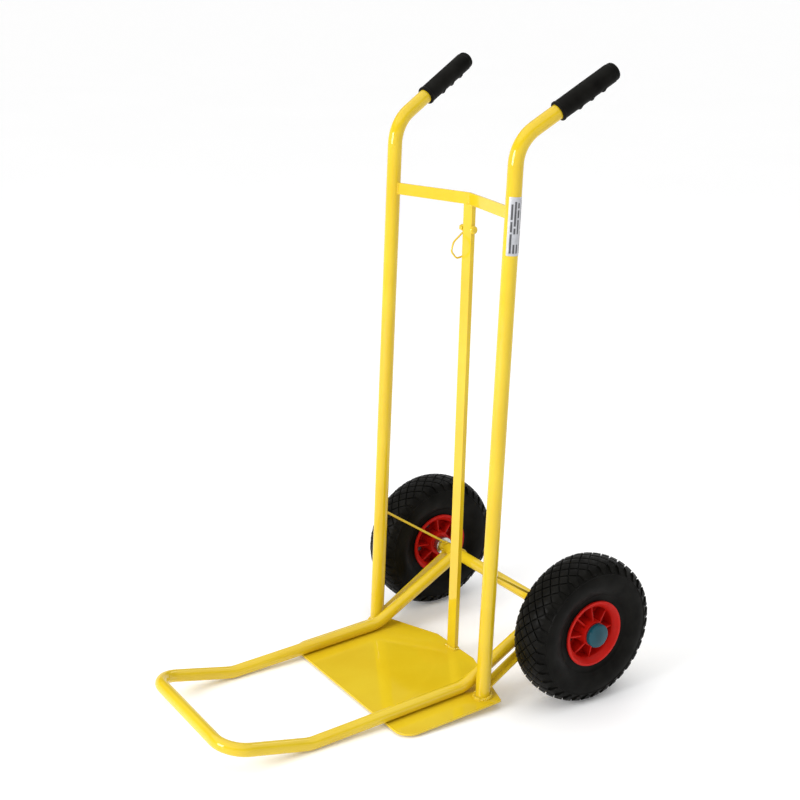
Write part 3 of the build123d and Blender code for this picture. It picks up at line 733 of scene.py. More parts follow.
# ---------------------------------------------------------------- wheels
@dataclass
class Tyre:
    """Pneumatic tyre: a carcass with a diamond block tread and shoulder lugs."""

    finish: Material
    array: GeometryTree
    radius: float = 130 * MM
    arcs: tuple[Point2, ...] = (
        (70 * MM, radians(22)),
        (16 * MM, radians(38)),
        (42 * MM, radians(65)),
        (-20 * MM, radians(-45)),
    )
    pitches: int = 36
    column: float = 10.2 * MM
    side_columns: int = 2
    groove: float = 2.2 * MM
    groove_depth: float = 3.4 * MM
    edge_round: float = 0.5 * MM
    # How far in and down the block's rounded edge passes, as shares of the rounding
    edge_steps: tuple[Point2, ...] = ((0.0, 1.0), (0.4, 0.3), (1.4, 0.0))
    seat_radius: float = 50.3 * MM
    lug_end: float = 45 * MM
    lug_slope: float = 8 * MM
    # Half widths of the lug, at lengths past its shoulder and then before its end
    lug_root: tuple[Point2, ...] = ((3 * MM, 7.2 * MM), (6 * MM, 5.8 * MM))
    lug_tip: tuple[Point2, ...] = ((2.5 * MM, 4.5 * MM), (0.0, 2.2 * MM))
    carcass_step: float = 3 * MM
    segments: int = 180
    # Depth of the carcass under the tread's outer surface, at lengths along the profile
    depths: tuple[Point2, ...] = (
        (0.0, 3.2 * MM),
        (31 * MM, 3.2 * MM),
        (39 * MM, 2.6 * MM),
        (46.2 * MM, 1.3 * MM),
        (46.9 * MM, 0.5 * MM),
        (48.1 * MM, 0.5 * MM),
        (48.8 * MM, 1.3 * MM),
        (62 * MM, 0.9 * MM),
        (84 * MM, 0.5 * MM),
        (85 * MM, 0.1 * MM),
        (87 * MM, 0.1 * MM),
        (88 * MM, 0.5 * MM),
        (100.8 * MM, 0.3 * MM),
    )

    def profile(self, along: float, lift: float) -> Point2:
        """A point of the section.

        Args:
            along: Length along the profile from the tread's middle, negative to the other side.
            lift: Distance outwards from the profile.

        Returns:
            X and radius.
        """
        x, r, heading = 0.0, self.radius, 0.0
        left = abs(along)
        for radius, turn in self.arcs:
            step = min(left, abs(radius * turn))
            after = heading + step / radius
            x += radius * (sin(after) - sin(heading))
            r -= radius * (cos(heading) - cos(after))
            heading = after
            left -= step
        x += lift * sin(heading)
        return (x if along >= 0 else -x, r + lift * cos(heading))

    def surface(self, along: float, round_by: float, lift: float) -> Vector:
        """A point of the tyre.

        Args:
            along: Length along the profile from the tread's middle.
            round_by: Length round the tread from its start.
            lift: Distance outwards from the profile.

        Returns:
            The point, with the wheel's centre at the origin.
        """
        x, r = self.profile(along, lift)
        angle = round_by / self.radius
        return Vector((x, r * cos(angle), r * sin(angle)))

    def carcass(self) -> Mesh:
        """The tyre without its blocks.

        Returns:
            Its mesh.
        """
        half = []
        for (start, depth), (end, next_depth) in zip(self.depths, self.depths[1:]):
            runs = max(1, round((end - start) / self.carcass_step))
            for i in range(runs):
                t = i / runs
                half.append(self.profile(start + (end - start) * t, -depth - (next_depth - depth) * t))
        last, depth = self.depths[-1]
        half.append(self.profile(last, -depth))
        half.append((half[-1][0], self.seat_radius))
        outline = half + [(-x, r) for x, r in reversed(half[1:])]
        return mesh_from("carcass", revolved(outline, self.segments))

    def diamond(self, column: int, late: float) -> list[Point2]:
        """Outline of one block between the diagonal grooves.

        Args:
            column: The block's column, 0 in the middle.
            late: Length round the tread from the pitch's start.

        Returns:
            Corners as lengths along the profile and round the tread.
        """
        wide = self.column
        tall = pi * self.radius / self.pitches
        slant = hypot(wide, tall) * self.groove / 2
        w = wide - slant / tall
        t = tall - slant / wide
        middle = column * self.column
        return [(middle - w, late), (middle, late + t), (middle + w, late), (middle, late - t)]

    def lug(self, side: int, late: float) -> list[Point2]:
        """Outline of one shoulder lug, pointed between two diamonds and drawn out to a finger.

        Args:
            side: 1 on the tyre's +X shoulder, -1 on the other.
            late: Length round the tread from the pitch's start.

        Returns:
            Corners as lengths along the profile and round the tread.
        """
        tip = self.diamond(self.side_columns + 1, 0)[0][0]
        tall = pi * self.radius / self.pitches
        slope = tall / self.column
        shoulder = tip + self.lug_slope
        half = [(tip, 0.0), (shoulder, self.lug_slope * slope)]
        half += [(shoulder + past, width) for past, width in self.lug_root]
        half += [(self.lug_end - before, width) for before, width in self.lug_tip]
        whole = half + [(a, -s) for a, s in reversed(half[1:])]
        return [(side * a, late + s) for a, s in whole]

    def add_block(self, shape: bmesh.types.BMesh, outline: Sequence[Point2]) -> None:
        """Adds one block with rounded top edges.

        Args:
            shape: The bmesh to add to.
            outline: Corners as lengths along the profile and round the tread.
        """
        fine = []
        for (a, s), (b, t) in zip(outline, list(outline[1:]) + [outline[0]]):
            fine += [(a, s), ((a + b) / 2, (s + t) / 2)]
        middle_a = sum(a for a, _ in outline) / len(outline)
        middle_s = sum(s for _, s in outline) / len(outline)
        size = max(hypot(a - middle_a, s - middle_s) for a, s in outline)
        rings = []
        wall = [(0.0, -self.groove_depth - self.edge_round)]
        wall += [(self.edge_round * share, -self.edge_round * drop) for share, drop in self.edge_steps]
        for inset, lift in wall:
            keep = 1 - inset / size
            ring = []
            for a, s in fine:
                place = (middle_a + (a - middle_a) * keep, middle_s + (s - middle_s) * keep)
                ring.append(shape.verts.new(self.surface(*place, lift)))
            rings.append(ring)
        for low, high in zip(rings, rings[1:]):
            for i in range(len(fine)):
                j = (i + 1) % len(fine)
                shape.faces.new((low[i], low[j], high[j], high[i]))
        shape.faces.new(rings[0])
        crown = shape.verts.new(self.surface(middle_a, middle_s, 0.0))
        top = rings[-1]
        for i in range(len(fine)):
            shape.faces.new((top[i], top[(i + 1) % len(fine)], crown))

    def pitch_mesh(self) -> Mesh:
        """All blocks of one pitch of the tread.

        Returns:
            Their mesh.
        """
        shape = bmesh.new()
        half_pitch = pi * self.radius / self.pitches
        for column in range(-self.side_columns, self.side_columns + 1):
            self.add_block(shape, self.diamond(column, half_pitch if column % 2 else 0.0))
        for side in (1, -1):
            self.add_block(shape, self.lug(side, half_pitch))
        return mesh_from("tread pitch", shape)

    def build(self, side: Side, centre: Vector) -> None:
        """Makes the tyre in its place on one side.

        Args:
            side: The truck's side.
            centre: The wheel's centre.
        """
        piece = new_piece(f"tyre_{side.word}_tread", self.pitch_mesh())
        self.array.run(piece, Count=self.pitches, Start=0.0, Material=self.finish)
        piece.data = joined(piece.name, [piece.data, self.carcass()])
        piece.data.transform(Matrix.Translation(centre))
        fit_out(piece, self.finish, side.wheel, [f"tyre_{side.word}"])


@dataclass
class Rim:
    """Moulded rim half: lip, dish, web, hub and thin ribs."""

    finish: Material
    array: GeometryTree
    half_width: float = 33 * MM
    lip_radius: float = 58.5 * MM
    lip_face: float = 4.5 * MM
    lip: float = 4 * MM
    seat: float = 50 * MM
    wall: float = 4 * MM
    dish: float = 9 * MM
    web: float = 5 * MM
    hub: float = 23 * MM
    hub_half: float = 34 * MM
    bore: float = 9 * MM
    bearing: float = 14.02 * MM
    bearing_depth: float = 14 * MM
    corner: float = 1.2 * MM
    lip_width: float = 5 * MM
    draft: float = 1 * MM
    ribs: int = 8
    rib_sink: float = 1 * MM
    rib_below_hub: float = 6 * MM
    rib_below_edge: float = 11 * MM
    rib_half: float = 1.5 * MM
    rib_round: float = 0.7 * MM
    segments: int = 128

    def section(self) -> list[Point2]:
        """Outline of the revolved part, from the split plane outwards.

        Returns:
            Points as X and radius.
        """
        barrel = self.seat - self.wall
        edge = self.half_width
        return rounded(
            [
                (0, self.bore),
                (0, self.seat),
                (edge - self.lip, self.seat),
                (edge - self.lip, self.lip_radius),
                (edge, self.lip_radius),
                (edge, self.lip_radius - self.lip_face),
                (edge - self.lip_width, self.seat - self.draft),
                (edge - self.dish, barrel),
                (self.web, barrel - 2 * self.draft),
                (self.web, self.hub + self.draft),
                (self.hub_half, self.hub - self.draft),
                (self.hub_half, self.bearing),
                (self.hub_half - self.bearing_depth, self.bearing),
                (self.hub_half - self.bearing_depth, self.bore),
            ],
            self.corner,
        )

    def rib_mesh(self) -> Mesh:
        """One rib, sunk into the web, hub and barrel, its free edges rounded.

        Returns:
            Its mesh.
        """
        barrel = self.seat - self.wall
        foot = self.web - self.rib_sink
        root = self.hub - 2 * self.rib_sink
        rim = barrel + self.rib_sink
        outline = rounded(
            [
                (foot, root),
                (self.hub_half - self.rib_below_hub, root),
                (self.half_width - self.rib_below_edge, rim),
                (foot, rim),
            ],
            self.corner,
        )
        shape = bmesh.new()
        face = shape.faces.new([shape.verts.new((x, r, -self.rib_half)) for x, r in outline])
        grown = bmesh.ops.extrude_face_region(shape, geom=[face])
        moved = [item for item in grown["geom"] if isinstance(item, bmesh.types.BMVert)]
        bmesh.ops.translate(shape, verts=moved, vec=(0, 0, 2 * self.rib_half))
        flat = [edge for edge in shape.edges if abs(edge.verts[0].co.z - edge.verts[1].co.z) < MERGE_GAP]
        bmesh.ops.bevel(shape, geom=flat, offset=self.rib_round, segments=2, affect="EDGES", profile=0.5)
        return mesh_from("rib", shape)

    def build(self, side: Side, centre: Vector, outer: bool) -> None:
        """Makes one half of one side's rim.

        Args:
            side: The truck's side.
            centre: The wheel's centre.
            outer: Whether it is the half away from the truck.
        """
        node = f"rim_{'outer' if outer else 'inner'}_{side.word}"
        piece = new_piece(f"{node}_moulding", self.rib_mesh())
        self.array.run(piece, Count=self.ribs, Start=0.0, Material=self.finish)
        dish = mesh_from("dish", revolved(self.section(), self.segments))
        piece.data = joined(piece.name, [piece.data, dish])
        outwards = (side is Side.LEFT) == outer
        turn = Matrix.Identity(4) if outwards else Matrix.Rotation(pi, 4, "Z")
        piece.data.transform(Matrix.Translation(centre) @ turn)
        fit_out(piece, self.finish, side.wheel, [node])


@dataclass
class AxleCap:
    """Push-on cap: a short skirt, a rounded edge and a slightly domed face."""

    finish: Material
    radius: float = 21 * MM
    height: float = 11 * MM
    dome: float = 2.2 * MM
    edge: float = 3.6 * MM
    wall: float = 1.5 * MM
    skirt_chamfer: float = 0.4 * MM
    steps: int = 6
    segments: int = 96

    def build(self, side: Side) -> None:
        """Makes the cap over its CAD node.

        Args:
            side: The truck's side.
        """
        low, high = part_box(f"axle_cap_{side.word}")
        start = low.x if side is Side.LEFT else high.x
        face = self.height - self.dome
        inside = self.radius - self.wall
        steps = self.steps
        chamfer = self.skirt_chamfer
        skirt = [(0.0, inside), (0.0, self.radius - chamfer), (chamfer, self.radius)]
        turn = [pi / 2 * i / steps for i in range(steps + 1)]
        edge_x = face - self.edge
        edge_r = self.radius - self.edge
        bend = [(edge_x + self.edge * sin(a), edge_r + self.edge * cos(a)) for a in turn]
        dome = [
            (face + self.dome * (1 - (t / steps) ** 2), edge_r * t / steps)
            for t in range(steps - 1, -1, -1)
        ]
        inner = [(face - self.wall, 0.0), (face - self.wall, inside)]
        mesh = mesh_from("cap", revolved(skirt + bend + dome + inner, self.segments))
        turned = Matrix.Identity(4) if side is Side.LEFT else Matrix.Rotation(pi, 4, "Z")
        centre = (low + high) / 2
        mesh.transform(Matrix.Translation((start, centre.y, centre.z)) @ turned)
        piece = new_piece(f"axle_cap_{side.word}_dome", mesh)
        fit_out(piece, self.finish, FRAME_BODY, [f"axle_cap_{side.word}"])


# ---------------------------------------------------------------- grips and label
@dataclass
class Grip:
    """Rubber grip: a collar, a plain sleeve, finger ridges below and a closed end."""

    plan: Plan
    finish: Material
    length: float = 118 * MM
    radius: float = 15.8 * MM
    bore: float = 12.6 * MM
    collar: float = 5 * MM
    collar_stand: float = 0.9 * MM
    end_cap: float = 11 * MM
    end_step: float = 0.8 * MM
    ridges: int = 3
    ridge_pitch: float = 24 * MM
    ridge_stand: float = 2.6 * MM
    ridge_width: float = 3.2 * MM
    ridge_side: float = 0.55
    end_round: float = 6.9 * MM
    end_runs: int = 8
    body_runs: int = 90
    sharp_angle: float = radians(50)
    dimple_share: float = 0.45
    dimple_floor_share: float = 0.30
    dimple_depth: float = 0.8 * MM
    end_wall: float = 4 * MM
    sides: int = 96
    # Lengths in millimetres at which the collar's section is drawn
    collar_marks: tuple[float, ...] = (0.0, 0.5, 1.2, 2.2, 3.2, 4.2, 4.8, 5.4, 6.2)

    def stations(self) -> list[float]:
        """Lengths along the grip at which its section is drawn.

        Returns:
            The lengths, from the collar's end.
        """
        body_end = self.length - self.end_round
        start = [mark * MM for mark in self.collar_marks]
        first = start[-1]
        runs = self.body_runs
        body = [first + (body_end - first) * i / runs for i in range(1, runs + 1)]
        turn = self.end_runs
        end = [body_end + self.end_round * sin(pi / 2 * i / turn) for i in range(1, turn + 1)]
        return start + body + end

    def radius_at(self, along: float, below: float) -> float:
        """Radius of the outside.

        Args:
            along: Length from the collar's end.
            below: How far the direction points to the underside, from -1 to 1.

        Returns:
            The radius there.
        """
        radius = self.radius
        if along < self.collar:
            middle = self.collar / 2
            swell = 1 - (abs(along - middle) / middle) ** 4
            radius += self.collar_stand * swell
        step = (along - self.length + self.end_cap) / self.end_step
        radius -= self.end_step * min(1.0, max(0.0, step))
        past = along - (self.length - self.end_round)
        if past > 0:
            radius -= self.end_round - sqrt(max(0.0, self.end_round**2 - past**2))
        for i in range(self.ridges):
            middle = self.length / 2 + (i - (self.ridges - 1) / 2) * self.ridge_pitch
            near = exp(-(((along - middle) / self.ridge_width) ** 2))
            radius += self.ridge_stand * near * max(0.0, below - self.ridge_side) / (1 - self.ridge_side)
        return radius

    def build(self, side: Side) -> None:
        """Makes the grip on one side's handle.

        Args:
            side: The truck's side.
        """
        shape = bmesh.new()
        rings = [self.ring(shape, 0.0, lambda _: self.bore)]
        for along in self.stations():
            rings.append(self.ring(shape, along, lambda below, at=along: self.radius_at(at, below)))
        for low, high in zip(rings, rings[1:]):
            for i in range(self.sides):
                j = (i + 1) % self.sides
                shape.faces.new((low[i], low[j], high[j], high[i]))
        edge = self.radius - self.end_step - self.end_round
        dimple = self.ring(shape, self.length, lambda _: edge * self.dimple_share)
        sunk = self.ring(shape, self.length - self.dimple_depth, lambda _: edge * self.dimple_floor_share)
        for low, high in ((rings[-1], dimple), (dimple, sunk)):
            for i in range(self.sides):
                j = (i + 1) % self.sides
                shape.faces.new((low[i], low[j], high[j], high[i]))
        shape.faces.new(sunk)
        deep = self.ring(shape, self.length - self.end_wall, lambda _: self.bore)
        for i in range(self.sides):
            j = (i + 1) % self.sides
            shape.faces.new((rings[0][i], rings[0][j], deep[j], deep[i]))
        shape.faces.new(deep)
        mesh = mesh_from(f"grip_{side.word}", shape, self.sharp_angle)
        axis = self.plan.handle(side)
        below = axis.cross(Vector((1, 0, 0))).normalized()
        across = below.cross(axis)
        corner = self.plan.upright(side, self.plan.bend_height)
        start = corner + axis * (self.plan.handle_length - self.length)
        basis = Matrix((across, below, axis)).transposed().to_4x4()
        mesh.transform(Matrix.Translation(start) @ basis)
        piece = new_piece(f"grip_{side.word}_rubber", mesh)
        fit_out(piece, self.finish, FRAME_BODY, [f"grip_{side.word}"])

    def ring(self, shape: bmesh.types.BMesh, along: float, radius: object) -> list[bmesh.types.BMVert]:
        """Adds one section's points.

        Args:
            shape: The bmesh to add to.
            along: Length from the collar's end.
            radius: Function from how far a direction points below to the radius there.

        Returns:
            The section's vertices.
        """
        ring = []
        for i in range(self.sides):
            angle = 2 * pi * i / self.sides
            r = radius(sin(angle))
            ring.append(shape.verts.new((r * cos(angle), r * sin(angle), along)))
        return ring


@dataclass
class Label:
    """Silver label with columns of plain dashes and no lettering."""

    plan: Plan
    finish: Material
    bottom: float = 777 * MM
    height: float = 91 * MM
    wrap: float = radians(145)
    turn: float = radians(2)
    stand: float = 0.25 * MM
    print_stand: float = 0.31 * MM
    sink: float = 0.1 * MM
    margin: float = 4 * MM
    columns: int = 40
    dash_half: float = 0.10
    # Middle of each printed column as a share of the half width, and its dashes and gaps upwards
    columns_of_dashes: tuple[tuple[float, tuple[Point2, ...]], ...] = (
        (-0.62, ((30 * MM, 3 * MM), (16 * MM, 3 * MM), (24 * MM, 0.0))),
        (-0.28, ((14 * MM, 16 * MM), (9 * MM, 3 * MM), (38 * MM, 0.0))),
        (0.06, ((14 * MM, 16 * MM), (22 * MM, 3 * MM), (12 * MM, 3 * MM), (8 * MM, 0.0))),
        (0.50, ((34 * MM, 4 * MM), (44 * MM, 0.0))),
    )

    def film(self, name: str, low: Point2, high: Point2, stand: float) -> Mesh:
        """A patch of film round the upright.

        Args:
            name: The mesh's name.
            low: Lowest angle and height of the patch.
            high: Highest angle and height.
            stand: Its outer face above the tube.

        Returns:
            The patch, closed on the tube's surface.
        """
        shape = bmesh.new()
        radius = self.plan.upright_radius
        grid = []
        for r in (radius - self.sink, radius + stand):
            for z in (low[1], high[1]):
                row = []
                for i in range(self.columns + 1):
                    angle = low[0] + (high[0] - low[0]) * i / self.columns
                    row.append(shape.verts.new((r * cos(angle), r * sin(angle), z)))
                grid.append(row)
        inner_low, inner_high, outer_low, outer_high = grid
        pairs = (
            (inner_low, inner_high),
            (outer_low, outer_high),
            (inner_low, outer_low),
            (inner_high, outer_high),
        )
        for first, second in pairs:
            for i in range(self.columns):
                shape.faces.new((first[i], first[i + 1], second[i + 1], second[i]))
        for i in (0, self.columns):
            shape.faces.new((inner_low[i], inner_high[i], outer_high[i], outer_low[i]))
        return mesh_from(name, shape)

    def build(self) -> None:
        """Makes the film and its print on the left upright."""
        start = self.plan.upright(Side.LEFT, self.bottom)
        lean = Matrix.Rotation(-self.plan.lean, 4, "X")
        place = Matrix.Translation(start) @ lean @ Matrix.Rotation(self.turn, 4, "Z")
        half = self.wrap / 2
        base = self.film("label", (-half, 0.0), (half, self.height), self.stand)
        base.transform(place)
        piece = new_piece("label_blank", base)
        fit_out(piece, self.finish, FRAME_BODY, ["label"])
        ink = FilmFinish("grey ink", (0.06, 0.06, 0.065), (0.09, 0.09, 0.10)).build()
        patches = []
        for column, dashes in self.columns_of_dashes:
            bottom = self.margin
            for length, gap in dashes:
                low = ((column - self.dash_half) * half, bottom)
                high = ((column + self.dash_half) * half, bottom + length)
                patches.append(self.film("dash", low, high, self.print_stand))
                bottom += length + gap
        mesh = joined("label_print", patches)
        mesh.transform(place)
        fit_out(new_piece("label_print", mesh), ink, FRAME_BODY)


# ---------------------------------------------------------------- flat stock and welds
@dataclass
class FlatStock:
    """Sheet and bar pieces, copied from the CAD with their edges eased."""

    finish: Material
    easing: dict[str, float] = field(
        default_factory=lambda: {
            "toe_plate": 0.9 * MM,
            "crossbar": 0.7 * MM,
            "centre_strut": 0.8 * MM,
            "side_strut_left": 0.5 * MM,
            "side_strut_right": 0.5 * MM,
        }
    )
    flat_angle: float = radians(0.5)
    bevel_angle: float = radians(32)
    bevel_steps: int = 3

    def eased(self, node: str, width: float) -> Object:
        """A copy of a CAD node with rounded edges.

        Args:
            node: The node's name.
            width: Width of the rounding.

        Returns:
            The new piece.
        """
        shape = bmesh.new()
        shape.from_mesh(frame["nodes"][node].data)
        bmesh.ops.remove_doubles(shape, verts=shape.verts, dist=MERGE_GAP)
        bmesh.ops.dissolve_limit(
            shape, angle_limit=self.flat_angle, verts=shape.verts, edges=shape.edges
        )
        mesh = mesh_from(node, shape, radians(180))
        for spare in ("custom_normal", "UVMap"):
            if spare in mesh.attributes:
                mesh.attributes.remove(mesh.attributes[spare])
        piece = new_piece(f"{node}_stock", mesh)
        bevel = piece.modifiers.new("eased edges", "BEVEL")
        bevel.width = width
        bevel.segments = self.bevel_steps
        bevel.limit_method = "ANGLE"
        bevel.angle_limit = self.bevel_angle
        bevel.harden_normals = True
        return piece

    def build(self) -> None:
        """Makes every flat piece."""
        for node, width in self.easing.items():
            fit_out(self.eased(node, width), self.finish, FRAME_BODY, [node])


@dataclass
class Seam:
    """One weld: the line it follows and the bead's radius."""

    points: list[Vector]
    bead: float
    closed: bool = True


@dataclass
class Welds:
    """Weld beads wherever frame pieces meet, and the plug weld on the crossbar."""

    plan: Plan
    finish: Material
    tree: GeometryTree
    steps: int = 40
    # Radius of each kind of bead
    upright_bead: float = 4.0 * MM
    strut_bead: float = 3.2 * MM
    crossbar_bead: float = 1.6 * MM
    crossbar_under_bead: float = 1.7 * MM
    stay_bead: float = 1.3 * MM
    angle_bead: float = 1.5 * MM
    sleeve_bead: float = 1.8 * MM
    # How far each seam stands off the piece inside it, or off the face it lies on
    upright_stand: float = 1.5 * MM
    upright_lift: float = 0.6 * MM
    strut_stand: float = 0.8 * MM
    strut_lift: float = 0.4 * MM
    under_stand: float = 0.5 * MM
    under_half: float = 11 * MM
    crossbar_stand: float = 0.2 * MM
    stay_top_stand: float = 0.8 * MM
    stay_low_stand: float = 0.6 * MM
    angle_low_stand: float = 1 * MM
    angle_top_stand: float = 0.4 * MM
    step: float = 0.45 * MM
    ripple_pitch: float = 3.1 * MM
    ripple_depth: float = 0.34
    wander: float = 1.8 * MM
    seed: float = 3.0
    # The plug weld's half width, half thickness and half height in millimetres
    plug_size: tuple[float, float, float] = (5.5, 1.2, 4.6)
    # Height, count and phase of the waves on its outline
    plug_waves: tuple[tuple[float, int, float], ...] = ((0.07, 3, 0.0), (0.05, 5, 1.0))

    ATTRIBUTE = "bead"
    WANDER_SCALE = 300.0
    SECTION_SIDES = 12

    def circle(self, centre: Vector, normal: Vector, radius: float, bead: float) -> Seam:
        """A seam round a rod or tube that stands on a face.

        Args:
            centre: Middle of the seam.
            normal: Direction of the rod.
            radius: The seam's radius.
            bead: The bead's radius.

        Returns:
            The seam.
        """
        first = normal.orthogonal().normalized()
        second = normal.cross(first).normalized()
        angles = [2 * pi * i / self.steps for i in range(self.steps)]
        points = [centre + first * (radius * cos(a)) + second * (radius * sin(a)) for a in angles]
        return Seam(points, bead)

    def box(self, centre: Vector, first: Vector, second: Vector, bead: float) -> Seam:
        """A seam round a rectangular bar, from its two half-width vectors."""
        corners = ((1, 1), (-1, 1), (-1, -1), (1, -1))
        return Seam([centre + first * a + second * b for a, b in corners], bead)

    def saddle(self, centre: Vector, arm: Vector, radius: float, across: float, bead: float) -> Seam:
        """A seam round a tube that meets a tube along X at a right angle.

        Args:
            centre: Point on the crossed tube's axis.
            arm: Direction in which the joining tube leaves.
            radius: The joining tube's radius.
            across: The crossed tube's radius.
            bead: The bead's radius.

        Returns:
            The seam.
        """
        along_x = Vector((1, 0, 0))
        side = arm.cross(along_x).normalized()
        points = []
        for i in range(self.steps):
            angle = 2 * pi * i / self.steps
            reach = sqrt(across**2 - (radius * sin(angle)) ** 2)
            off_axis = along_x * (radius * cos(angle)) + side * (radius * sin(angle))
            points.append(centre + arm * reach + off_axis)
        return Seam(points, bead)

    def frame_seams(self) -> list[Seam]:
        """Seams of the welded frame.

        Returns:
            The seams.
        """
        plan = self.plan
        deck_normal = plan.deck(0, 0, 1) - plan.deck(0, 0, 0)
        deck_along = plan.deck(0, 1, 0) - plan.deck(0, 0, 0)
        across = Vector((1, 0, 0))
        wide, thick = plan.strut_size
        foot = plan.deck(0, plan.strut_foot_behind, self.strut_lift)
        half_wide = across * (wide / 2 + self.strut_stand)
        half_thick = deck_along * (thick / 2 + self.strut_stand)
        seams = [self.box(foot, half_wide, half_thick, self.strut_bead)]
        middle = plan.crossbar_middle()
        bar_thick, bar_deep = plan.crossbar_size
        under = middle - Vector((0, 0, bar_deep / 2))
        for face in (-1, 1):
            shift = Vector((0, face * (bar_thick / 2 + self.under_stand), 0))
            ends = [under + shift + across * (sign * self.under_half) for sign in (-1, 1)]
            seams.append(Seam(ends, self.crossbar_under_bead, closed=False))
        for side in Side:
            seams += self.side_seams(side, deck_normal)
        return seams

    def side_seams(self, side: Side, deck_normal: Vector) -> list[Seam]:
        """Seams on one side of the welded frame.

        Args:
            side: The truck's side.
            deck_normal: Direction off the plate.

        Returns:
            The seams.
        """
        plan = self.plan
        x = side.value * plan.half_spacing
        foot = plan.deck(x, 0, self.upright_lift)
        foot_radius = plan.upright_radius + self.upright_stand
        seams = [self.circle(foot, deck_normal, foot_radius, self.upright_bead)]
        end = plan.upright(side, plan.crossbar_height)
        inwards = (plan.crossbar_middle() - end).normalized()
        bar_thick, bar_deep = plan.crossbar_size
        normal = inwards.cross(Vector((0, 0, 1))).normalized()
        root = end + inwards * (plan.upright_radius + self.crossbar_stand)
        half_deep = Vector((0, 0, bar_deep / 2))
        seams.append(self.box(root, normal * bar_thick / 2, half_deep, self.crossbar_bead))
        axle = Vector((x, plan.axle.y, plan.axle.z))
        top = axle + Vector((0, 0, plan.axle_tube_radius - plan.stay_radius))
        high = plan.upright(side, plan.stay_height)
        rod = (top - high).normalized()
        reach = sqrt(plan.axle_tube_radius**2 - (top.z - axle.z) ** 2)
        for place in (
            high + rod * (plan.upright_radius + self.stay_top_stand),
            top - rod * (reach + self.stay_low_stand),
        ):
            seams.append(self.circle(place, rod, plan.stay_radius, self.stay_bead))
        low = plan.deck(x, 0, plan.angle_rise)
        strut = (axle - low).normalized()
        lift = strut.cross(Vector((1, 0, 0))).normalized() * (plan.angle_leg / 2)
        out = Vector((plan.angle_leg / 2, 0, 0))
        for place in (
            low + strut * (plan.upright_radius + self.angle_low_stand),
            axle - strut * (plan.axle_tube_radius + self.angle_top_stand),
        ):
            corners = [place - out + lift, place - out - lift, place + out - lift]
            seams.append(Seam(corners, self.angle_bead, closed=False))
        return seams

    def nose_seams(self) -> list[Seam]:
        """Seams between the nose frame's arms and its sleeves.

        Returns:
            The seams.
        """
        plan = self.plan
        seams = []
        for side in Side:
            x = side.value * plan.nose_half
            centre = Vector((x, plan.axle.y, plan.axle.z))
            arm = (plan.deck(x, -plan.nose_turn_up, plan.nose_lift) - centre).normalized()
            seam = self.saddle(centre, arm, plan.nose_radius, plan.sleeve_radius, self.sleeve_bead)
            seams.append(seam)
        return seams

    def line_mesh(self, seams: Sequence[Seam]) -> Mesh:
        """Edge lines of all seams, with each bead's radius on its points.

        Args:
            seams: The seams.

        Returns:
            A mesh of loose edges.
        """
        points, edges, beads = [], [], []
        for seam in seams:
            first = len(points)
            count = len(seam.points)
            points += seam.points
            beads += [seam.bead] * count
            edges += [(first + i, first + i + 1) for i in range(count - 1)]
            if seam.closed:
                edges.append((first + count - 1, first))
        mesh = bpy.data.meshes.new("seams")
        mesh.from_pydata(points, edges, [])
        attribute = mesh.attributes.new(self.ATTRIBUTE, "FLOAT", "POINT")
        attribute.data.foreach_set("value", beads)
        return mesh

    def plug(self) -> Mesh:
        """The flattened blob of the plug weld on the crossbar's front.

        Returns:
            Its mesh.
        """
        wide, thick, tall = self.plug_size
        shape = bmesh.new()
        bmesh.ops.create_icosphere(shape, subdivisions=4, radius=1)
        for vert in shape.verts:
            angle = atan2(vert.co.x, vert.co.z)
            swell = 1.0
            for height, count, phase in self.plug_waves:
                swell += height * sin(count * angle + phase)
            vert.co = Vector((vert.co.x * wide * swell, vert.co.y * thick, vert.co.z * tall * swell)) * MM
        mesh = mesh_from("plug", shape)
        front = self.plan.crossbar_middle() - Vector((0, self.plan.crossbar_size[0] / 2, 0))
        mesh.transform(Matrix.Translation(front))
        return mesh

    def build(self) -> None:
        """Makes the beads of the frame and of the nose frame."""
        for name, seams, body in (
            ("frame_welds", self.frame_seams(), FRAME_BODY),
            ("nose_welds", self.nose_seams(), NOSE_BODY),
        ):
            piece = new_piece(name, self.line_mesh(seams))
            self.tree.run(
                piece,
                Step=self.step,
                Ripple_Pitch=self.ripple_pitch,
                Ripple_Depth=self.ripple_depth,
                Wander=self.wander,
                Seed=self.seed,
                Material=self.finish,
            )
            fit_out(piece, self.finish, body)
        fit_out(new_piece("plug_weld", self.plug()), self.finish, FRAME_BODY)


# ---------------------------------------------------------------- CAD pieces that stay
def dress_cad_nodes(finishes: dict[Slot, Material]) -> None:
    """Gives every CAD node the finish of its slot.

    Args:
        finishes: The materials by slot.
    """
    slots = {part["node"]: part["material_slot"] for part in frame["record"]["subparts"]}
    for name, node in frame["nodes"].items():
        material = finishes[Slot(slots[name])]
        for place in node.material_slots:
            place.material = material


# ---------------------------------------------------------------- studio
@dataclass
class Softbox:
    """A square area light, placed round the truck's middle, its azimuth taken from the camera's."""

    name: str
    azimuth: float
    elevation: float
    distance: float
    size: float
    power: float

    def build(self, target: Vector, camera_azimuth: float) -> None:
        """Hangs the light and points it at the target.

        Args:
            target: The point that it shines at.
            camera_azimuth: The camera's azimuth.
        """
        lamp = bpy.data.lights.new(self.name, "AREA")
        lamp.energy = self.power
        lamp.size = self.size
        piece = bpy.data.objects.new(self.name, lamp)
        bpy.context.scene.collection.objects.link(piece)
        away = direction(camera_azimuth + self.azimuth, self.elevation)
        piece.location = target + away * self.distance
        piece.rotation_euler = away.to_track_quat("Z", "Y").to_euler()


